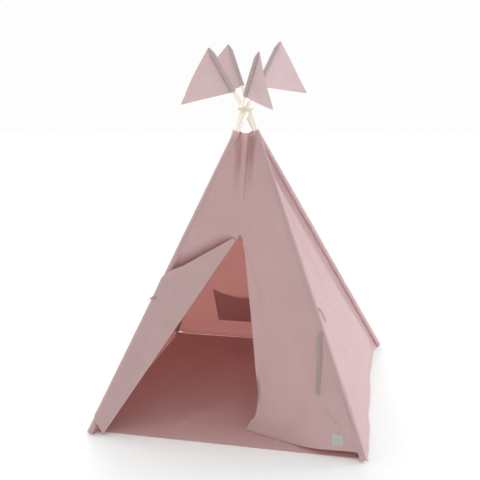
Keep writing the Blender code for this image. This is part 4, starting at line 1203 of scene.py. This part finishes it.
def mat_point(across, up):
    """Point of the mat's middle layer, its corners rounded."""
    half = Vector(((MAT_RIGHT - MAT_LEFT) / 2, (MAT_BACK - MAT_FRONT) / 2, 0))
    middle = Vector(((MAT_RIGHT + MAT_LEFT) / 2, (MAT_BACK + MAT_FRONT) / 2, 0))
    spot = Vector(((2 * across - 1) * half.x, (2 * up - 1) * half.y, 0))
    over = Vector((abs(spot.x) - half.x + MAT_CORNER, abs(spot.y) - half.y + MAT_CORNER, 0))
    if over.x > 0 and over.y > 0:
        drawn = over * (max(over.x, over.y) / over.length)
        spot.x = math.copysign(half.x - MAT_CORNER + drawn.x, spot.x)
        spot.y = math.copysign(half.y - MAT_CORNER + drawn.y, spot.y)
    inside = smoothstep(min(half.x - abs(spot.x), half.y - abs(spot.y)) / MAT_FLAT_RIM)
    diagonal = Vector((spot.x + spot.y, spot.x - spot.y, 0))
    wave = MAT_WAVE * (MAT_WAVE_BIAS + ripple(diagonal, MAT_WAVE_SIZE, MAT_SEED))
    spot += middle
    wave += MAT_FOLD_HEIGHT * creased(spot.x, spot.y, MAT_FOLD, MAT_FOLD_WIDTH)
    return spot + UP * (MAT_THICKNESS / 2 + max(0, wave * inside))


mat_flat = (MAT_RIGHT - MAT_LEFT, MAT_BACK - MAT_FRONT)
mat = cloth("mat_cloth", mat_steps(mat_flat[0], 60), mat_steps(mat_flat[1], 60), mat_point, mat_flat,
            MAT_CANVAS, "mat", "floor_mat", hems="lrbt", thickness=MAT_THICKNESS / 2)
print("mat:", [round(side, 3) for side in mat_flat])

# %% [markdown]
# ## Label
# A bare strip of pale tape is sewn low on the right flap.

# %% Label
LABEL_WIDTH, LABEL_HEIGHT = 0.048, 0.047
LABEL_MIDDLE_X = 0.485
LABEL_FOOT_HEIGHT = 0.045
LABEL_THICKNESS = 0.0010
LABEL_TRIES = 12


def label_point(across, up):
    """Point of the label, on the flap's outer face."""
    share = (LABEL_FOOT_HEIGHT + LABEL_HEIGHT * up - HEM_HEIGHT) / SLIT_HEIGHT
    fold_x, edge_x = right_flap_ends(share)
    x = LABEL_MIDDLE_X + LABEL_WIDTH * (across - 0.5)
    in_flap = (fold_x - x) / (fold_x - edge_x)
    # The flap's cloth is raised from its cut, so its cut share is found step by step
    cut_share = share
    for _ in range(LABEL_TRIES):
        cut_share = share - (raised(in_flap, cut_share) - cut_share)
    lift = CLOTH_THICKNESS / 2 + LABEL_THICKNESS / 2 + SEAT_GAP
    return right_flap_point(in_flap, cut_share / FLAP_TOP_SHARE, lift)


label_flat = (LABEL_WIDTH, LABEL_HEIGHT * SLOPE)
label = cloth("label_tape", spaced(0, 1, 12), spaced(0, 1, 16), label_point, label_flat, LABEL_TAPE,
              "right_flap", "label_patch", thickness=LABEL_THICKNESS)
gather(label)
print("label:", LABEL_WIDTH, "by", LABEL_HEIGHT, "m")

# %% [markdown]
# ## Flags
# Each flag is a pennant folded round its pole's end and sewn along the pole into a narrow
# pocket. The pocket is sewn shut above the wood, which gives the flag its pointed top. The
# loose corner hangs out and curls a little.

# %% Flags
FLAG_SLEEVE_LENGTH = 0.215
FLAG_TOP_MARGIN = 0.004
FLAG_SLEEVE_RADIUS = 0.0135
FLAG_CLOSING = 0.038
FLAG_TURNS = {"front_left": 0, "front_right": 32, "back_right": 0, "back_left": -9}
FLAG_EDGE_BOW = 0.008
FLAG_REACH = 0.235
FLAG_CORNER_REACH_SHARE = 0.98
FLAG_CORNER_SHARE = 0.46
FLAG_CLOTH = 0.0012
FLAG_WAVE = 0.008
FLAG_WAVE_COUNT = 0.75
FLAG_UNEVENNESS, FLAG_HOLLOWS = 0.003, 0.35
FLAG_SEAM_WIDTH = 0.008
FLAG_DENTS, FLAG_DENTS_PER_METRE = 0.04, 20
FLAG_SEED, FLAG_DENT_SEED = 41, 51
# The closing of the pocket's top as a power of the distance from it, and its rows as shares of it
FLAG_TOP_POWER, FLAG_TOP_LEAST = 0.6, 0.004
FLAG_CLOSING_SHARES = (1, 0.8, 0.6, 0.4, 0.25, 0.12, 0.04, 0)
FLAG_HEM_SHARE = 0.02


def make_flag(corner, number):
    """Pennant and its pocket round the pole's end, of one cloth."""
    top = POLE_TOP_LENGTHS[corner] + FLAG_TOP_MARGIN
    low = POLE_TOP_LENGTHS[corner] - FLAG_TOP_MARGIN - FLAG_SLEEVE_LENGTH
    toward_foot = Vector((*CORNERS[corner], 0)).normalized()
    hanging = -toward_foot
    hanging = (hanging - upward[corner] * hanging.dot(upward[corner])).normalized()
    hanging = Matrix.Rotation(math.radians(FLAG_TURNS[corner]), 3, upward[corner]) @ hanging
    sideways = upward[corner].cross(hanging)
    length = top - low
    girth = TURN * FLAG_SLEEVE_RADIUS
    width = FLAG_REACH + girth
    corner_level = low + FLAG_CORNER_SHARE * FLAG_SLEEVE_LENGTH

    def place(x, y):
        level = low + y
        open_share = min(1, max(FLAG_TOP_LEAST, (top - level) / FLAG_CLOSING))
        radius = FLAG_SLEEVE_RADIUS * open_share ** FLAG_TOP_POWER
        if x > girth:
            out = (x - girth) / FLAG_REACH * FLAG_CORNER_REACH_SHARE
            bend = math.sin(TURN * FLAG_WAVE_COUNT * out + number) - math.sin(number)
            aside = FLAG_WAVE * bend * out
            spot = Vector((out, number, y * 2))
            aside += FLAG_UNEVENNESS * out * ripple(spot, FLAG_HOLLOWS, FLAG_SEED + number)
            level += (corner_level - level) * out + FLAG_EDGE_BOW * arch(out) * y / length
            return (crossing[corner] + hanging * (radius + out * FLAG_REACH) + sideways * aside
                    + upward[corner] * level)
        turn = TURN * x / girth
        spot = Vector((math.cos(turn), math.sin(turn), y * FLAG_DENTS_PER_METRE))
        dent = 1 + FLAG_DENTS * ripple(spot, 1.0, FLAG_DENT_SEED + number)
        return (crossing[corner] + hanging * radius * math.cos(turn)
                + sideways * radius * math.sin(turn) * dent + upward[corner] * level)

    def hem_at(x, y):
        if x < girth:
            return min((y, x), (length - y, x))
        taper = 1 - (x - girth) / FLAG_REACH * FLAG_CORNER_REACH_SHARE
        seam = abs(x - girth) + HEM_WIDTH - FLAG_SEAM_WIDTH
        return min((y * taper, x), ((length - y) * taper, x), (seam, y))

    closing = [1 - FLAG_CLOSING / length * share for share in FLAG_CLOSING_SHARES]
    rows = [0] + spaced(FLAG_HEM_SHARE, closing[0], 24) + closing[1:]
    columns = spaced(0, girth / width, 32) + spaced(girth / width, 1, 48)[1:]
    piece = hang(flat_grid(columns, rows, width, length), f"flag_cloth_{corner}", place, hem_at,
                 FLAG_CANVAS, f"flag_{corner}", f"flag_{corner}", thickness=FLAG_CLOTH / 2)


for number, corner in enumerate(CORNERS):
    make_flag(corner, number)
print("flags: 4, reach", FLAG_REACH, "m")

# %% [markdown]
# ## Cord round the crossing
# A twisted cotton cord is wound three times round the poles where they cross, knotted on
# the front and left with two loose ends. Its strands show as a rounded, turning profile.

# %% Lashing, knot and loose ends
CORD_RADIUS = 0.00175
LASHING_RADIUS = 0.03367
LASHING_TURNS = 3
LASHING_PITCH = 0.0042
KNOT_TURN = math.radians(-82)
KNOT_MIDDLE = Vector((0.0057, -0.0408, 1.3650))
CORD_LAY = 0.012
STRANDS = 3
STRAND_VALLEY = 0.86
TURN_STEPS = 72
# The knot is a trefoil
KNOT_SCALE = 0.00120
KNOT_STEPS = 96
TAILS = {
    "lashing_tail_long": ((0.0057, -0.0406, 1.3588), (0.0030, -0.0445, 1.3500), (-0.0040, -0.0475, 1.3350),
                          (-0.0120, -0.0530, 1.3150), (-0.0200, -0.0625, 1.2960)),
    "lashing_tail_short": ((0.0116, -0.0406, 1.3650), (0.0180, -0.0420, 1.3630), (0.0240, -0.0440, 1.3530),
                           (0.0230, -0.0450, 1.3400))}


def smooth_route(points, count=8):
    """Points along a smooth curve through a route's own points."""
    points = [Vector(point) for point in points]
    ends = [2 * points[0] - points[1]] + points + [2 * points[-1] - points[-2]]
    route = []
    for before, here, there, after in zip(ends, ends[1:], ends[2:], ends[3:]):
        for step in range(count):
            t = step / count
            bend = (2 * before - 5 * here + 4 * there - after) * t * t
            twist = (3 * here - before - 3 * there + after) * t ** 3
            route.append(here + ((there - before) * t + bend + twist) / 2)
    return route + [points[-1]]


def runs_of(route):
    """Length of a route up to each of its points."""
    runs = [0.0]
    for here, there in zip(route, route[1:]):
        runs.append(runs[-1] + (there - here).length)
    return runs


def nearest(runs, run):
    """Index of the point of a route that is nearest to a length along it."""
    return min(range(len(runs)), key=lambda i: abs(runs[i] - run))


def make_cord(name, route, node, closed=False):
    """Three-stranded cord along a route; returns its piece and length."""
    ways = [(after - before).normalized()
            for before, after in zip([route[0]] + route[:-1], route[1:] + [route[-1]])]
    if closed:
        ways[0] = ways[-1] = (route[1] - route[-2]).normalized()
    sides = [ways[0].orthogonal().normalized()]
    for way in ways[1:]:
        sides.append((sides[-1] - way * sides[-1].dot(way)).normalized())
    runs = runs_of(route)
    length = runs[-1]
    shape = flat_grid(spaced(0, 1, 12), [run / length for run in runs], 1, length)
    lay_map(shape, TURN * CORD_RADIUS)
    for vertex in shape.verts:
        i = nearest(runs, vertex.co.y)
        side, way = sides[i], ways[i]
        turn = TURN * vertex.co.x
        lobe = abs(math.cos(STRANDS / 2 * (turn - TURN * vertex.co.y / CORD_LAY)))
        radius = CORD_RADIUS * (STRAND_VALLEY + (1 - STRAND_VALLEY) * lobe)
        vertex.co = route[i] + (side * math.cos(turn) + way.cross(side) * math.sin(turn)) * radius
    bmesh.ops.remove_doubles(shape, verts=shape.verts, dist=MERGE_DISTANCE)
    bmesh.ops.holes_fill(shape, edges=[edge for edge in shape.edges if edge.is_boundary])
    bmesh.ops.recalc_face_normals(shape, faces=shape.faces)
    return finished(shape, name, TWISTED_CORD, "crossing", node), length


winding = []
for step in range(LASHING_TURNS * TURN_STEPS + 1):
    turns = step / TURN_STEPS
    angle = KNOT_TURN + TURN * turns
    level = CROSSING_HEIGHT + LASHING_PITCH * (turns - LASHING_TURNS / 2)
    winding.append(Vector((LASHING_RADIUS * math.cos(angle), LASHING_RADIUS * math.sin(angle), level)))
make_cord("lashing_cord_winding", winding, "crossing_lashing")

knot_route = []
for step in range(KNOT_STEPS + 1):
    a = TURN * step / KNOT_STEPS
    loop = Vector((math.sin(a) + 2 * math.sin(2 * a), -math.sin(3 * a), math.cos(a) - 2 * math.cos(2 * a)))
    knot_route.append(KNOT_MIDDLE + loop * KNOT_SCALE)
make_cord("lashing_cord_knot", knot_route, "lashing_knot", closed=True)

for name, points in TAILS.items():
    route = smooth_route(points)
    tail, length = make_cord(name.replace("lashing_tail", "lashing_cord_end"), route, name)
    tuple(route[0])
    print(name, round(length, 4), "m")

# %% [markdown]
# ## Ribbon ties
# Linen tapes are sewn to the sleeves and to the right flap, to tie the door open. They are
# 12 mm wide, soft, and curl a little across their width.

# %% Ties
RIBBON_WIDTH = 0.012
RIBBON_THICKNESS = 0.0010
RIBBON_CURL = 0.0008
RIBBON_SEAT = 0.0006
# Each tie's pole, the way its width runs, and its route from the seam to the loose end
POLE_TIES = {
    "right_pole_tie": ("front_right", (1, 0, 0), (
        (0.3990, -0.4054, 0.4750), (0.3920, -0.4250, 0.4500), (0.3970, -0.4460, 0.3800),
        (0.3960, -0.4670, 0.3200), (0.3970, -0.5050, 0.2350))),
    "right_pole_tie_back": ("front_right", (0.35, 0.90, 0.20), (
        (0.3777, -0.3515, 0.5598), (0.3900, -0.3520, 0.5430), (0.4010, -0.3560, 0.5220),
        (0.4090, -0.3600, 0.5020))),
    "left_pole_tie": ("front_left", (0.37, 0.37, 0.85), (
        (-0.3400, -0.3760, 0.5700), (-0.3490, -0.3760, 0.5720), (-0.3615, -0.3725, 0.5700),
        (-0.3740, -0.3660, 0.5620), (-0.3840, -0.3620, 0.5500)))}
FLAP_TIE_SHARES = ((0.985, 0.300), (0.990, 0.262), (0.996, 0.219), (1.006, 0.172))
FLAP_TIE_HANG = (0.0000, 0.0010, 0.0030, 0.0060)
FLAP_TIE_WIDTH_WAY = (-0.17, 0.93, -0.30)


def make_tie(node, route, width_way, body):
    """Flat tape along a route; returns its piece and length."""
    half = Vector(width_way).normalized() * RIBBON_WIDTH / 2
    runs = runs_of(route)
    length = runs[-1]

    def point(across, along):
        i = nearest(runs, along * length)
        way = (route[min(i + 1, len(route) - 1)] - route[max(i - 1, 0)]).normalized()
        out = way.cross(half).normalized()
        curl = RIBBON_CURL * (2 * across - 1) ** 2 * smoothstep(3 * along)
        return route[i] + half * (2 * across - 1) + out * curl

    piece = cloth(f"{node}_tape", spaced(0, 1, 6), [run / length for run in runs], point,
                  (RIBBON_WIDTH, length), LINEN_TAPE, body, node, thickness=RIBBON_THICKNESS)
    print(node, round(length, 4), "m")
    return piece, length


def declare_ribbon(tie, route, length):
    """Takes the first point of a tape's route, and does nothing more."""
    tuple(route[0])


for name, (corner, width_way, points) in POLE_TIES.items():
    route = smooth_route(points)
    tie, length = make_tie(name, route, width_way, f"{corner}_leg")
    if name == "right_pole_tie":
        declare_ribbon(tie, route, length)

seat = CLOTH_THICKNESS + RIBBON_THICKNESS / 2 + RIBBON_SEAT
route = smooth_route([right_flap_point(across, up, seat + off)
                      for (across, up), off in zip(FLAP_TIE_SHARES, FLAP_TIE_HANG)])
tie, length = make_tie("right_flap_tie", route, FLAP_TIE_WIDTH_WAY, "right_flap")
gather(tie)
declare_ribbon(tie, route, length)

# %% [markdown]
# ## Floor and light
# The photograph was taken in a bright, plain room: a pale floor that runs out to white, soft
# light all round, and more of it from the right and behind. Far from the teepee the floor
# turns to plain white, as a studio sweep does.

# %% Floor, world and lamps
FLOOR_SIDE = 24
# How far from the teepee the floor starts to turn white, and where it is white
FLOOR_FADE = (1.1, 3.2)
ROOM_STRENGTH = 0.955
# Place, power in watts and colour of each window's light, a large soft square but for the low one
LAMP_TARGET = (0, 0, 0.6)
LAMPS = {
    "window_right": ((4.6, 1.4, 1.6), LAMP_TARGET, 2.6, 63, "#E8F3FF"),
    "window_low_right": ((2.3, 0.1, 0.2), (0.55, 0.0, 0.1), 0.3, 10, "#EFF8FF"),
    "window_left": ((-4.4, 0.7, 1.8), LAMP_TARGET, 2.6, 76, "#F4F8FF"),
    "window_behind": ((-1.5, 4.5, 3.2), LAMP_TARGET, 3.0, 122, "#FFFFFF")}

floor_shape = bmesh.new()
bmesh.ops.create_grid(floor_shape, x_segments=1, y_segments=1, size=FLOOR_SIDE / 2)
floor_mesh = bpy.data.meshes.new("floor")
floor_shape.to_mesh(floor_mesh)
floor_shape.free()
floor_material, tree = new_material("floor_pale_matt")
place = add_node(tree, "TexCoord").outputs["Object"]
distance = add_node(tree, "VectorMath", {"operation": "LENGTH"}, {0: place}).outputs["Value"]
ease = add_node(tree, "MapRange", {"From Min": FLOOR_FADE[0], "From Max": FLOOR_FADE[1]}, {"Value": distance})
seen = add_node(tree, "LightPath").outputs["Is Camera Ray"]
far = add_node(tree, "Math", {"operation": "MULTIPLY"}, {0: ease, 1: seen})
matt = add_node(tree, "BsdfDiffuse", {"Color": linear("#FBFEFD")})
white = add_node(tree, "Emission", {"Color": linear("#FFFFFF")})
both = add_node(tree, "MixShader", links={0: far, 1: matt, 2: white})
add_node(tree, "OutputMaterial", links={"Surface": both})
floor_mesh.materials.append(floor_material)
floor = bpy.data.objects.new("floor", floor_mesh)
bpy.context.scene.collection.objects.link(floor)

world = bpy.data.worlds.new("studio")
bpy.context.scene.world = world
world.use_nodes = True
tree = world.node_tree
tree.nodes.clear()
seen = add_node(tree, "LightPath").outputs["Is Camera Ray"]
room = add_node(tree, "Background", {"Color": linear("#F3F2F1"), "Strength": ROOM_STRENGTH})
backdrop = add_node(tree, "Background", {"Color": linear("#FDFDFD"), "Strength": 1.0})
both = add_node(tree, "MixShader", links={0: seen, 1: room, 2: backdrop})
add_node(tree, "OutputWorld", links={"Surface": both})

for name, (place, target, side, power, colour) in LAMPS.items():
    lamp_data = bpy.data.lights.new(name, "AREA")
    lamp_data.size = side
    lamp_data.energy = power
    lamp_data.color = linear(colour)[:3]
    lamp = bpy.data.objects.new(name, lamp_data)
    lamp.location = place
    lamp.rotation_euler = (Vector(target) - Vector(place)).to_track_quat("-Z", "Y").to_euler()
    bpy.context.scene.collection.objects.link(lamp)
print("lamps:", len(LAMPS))
bpy.context.scene.view_settings.view_transform = "Standard"
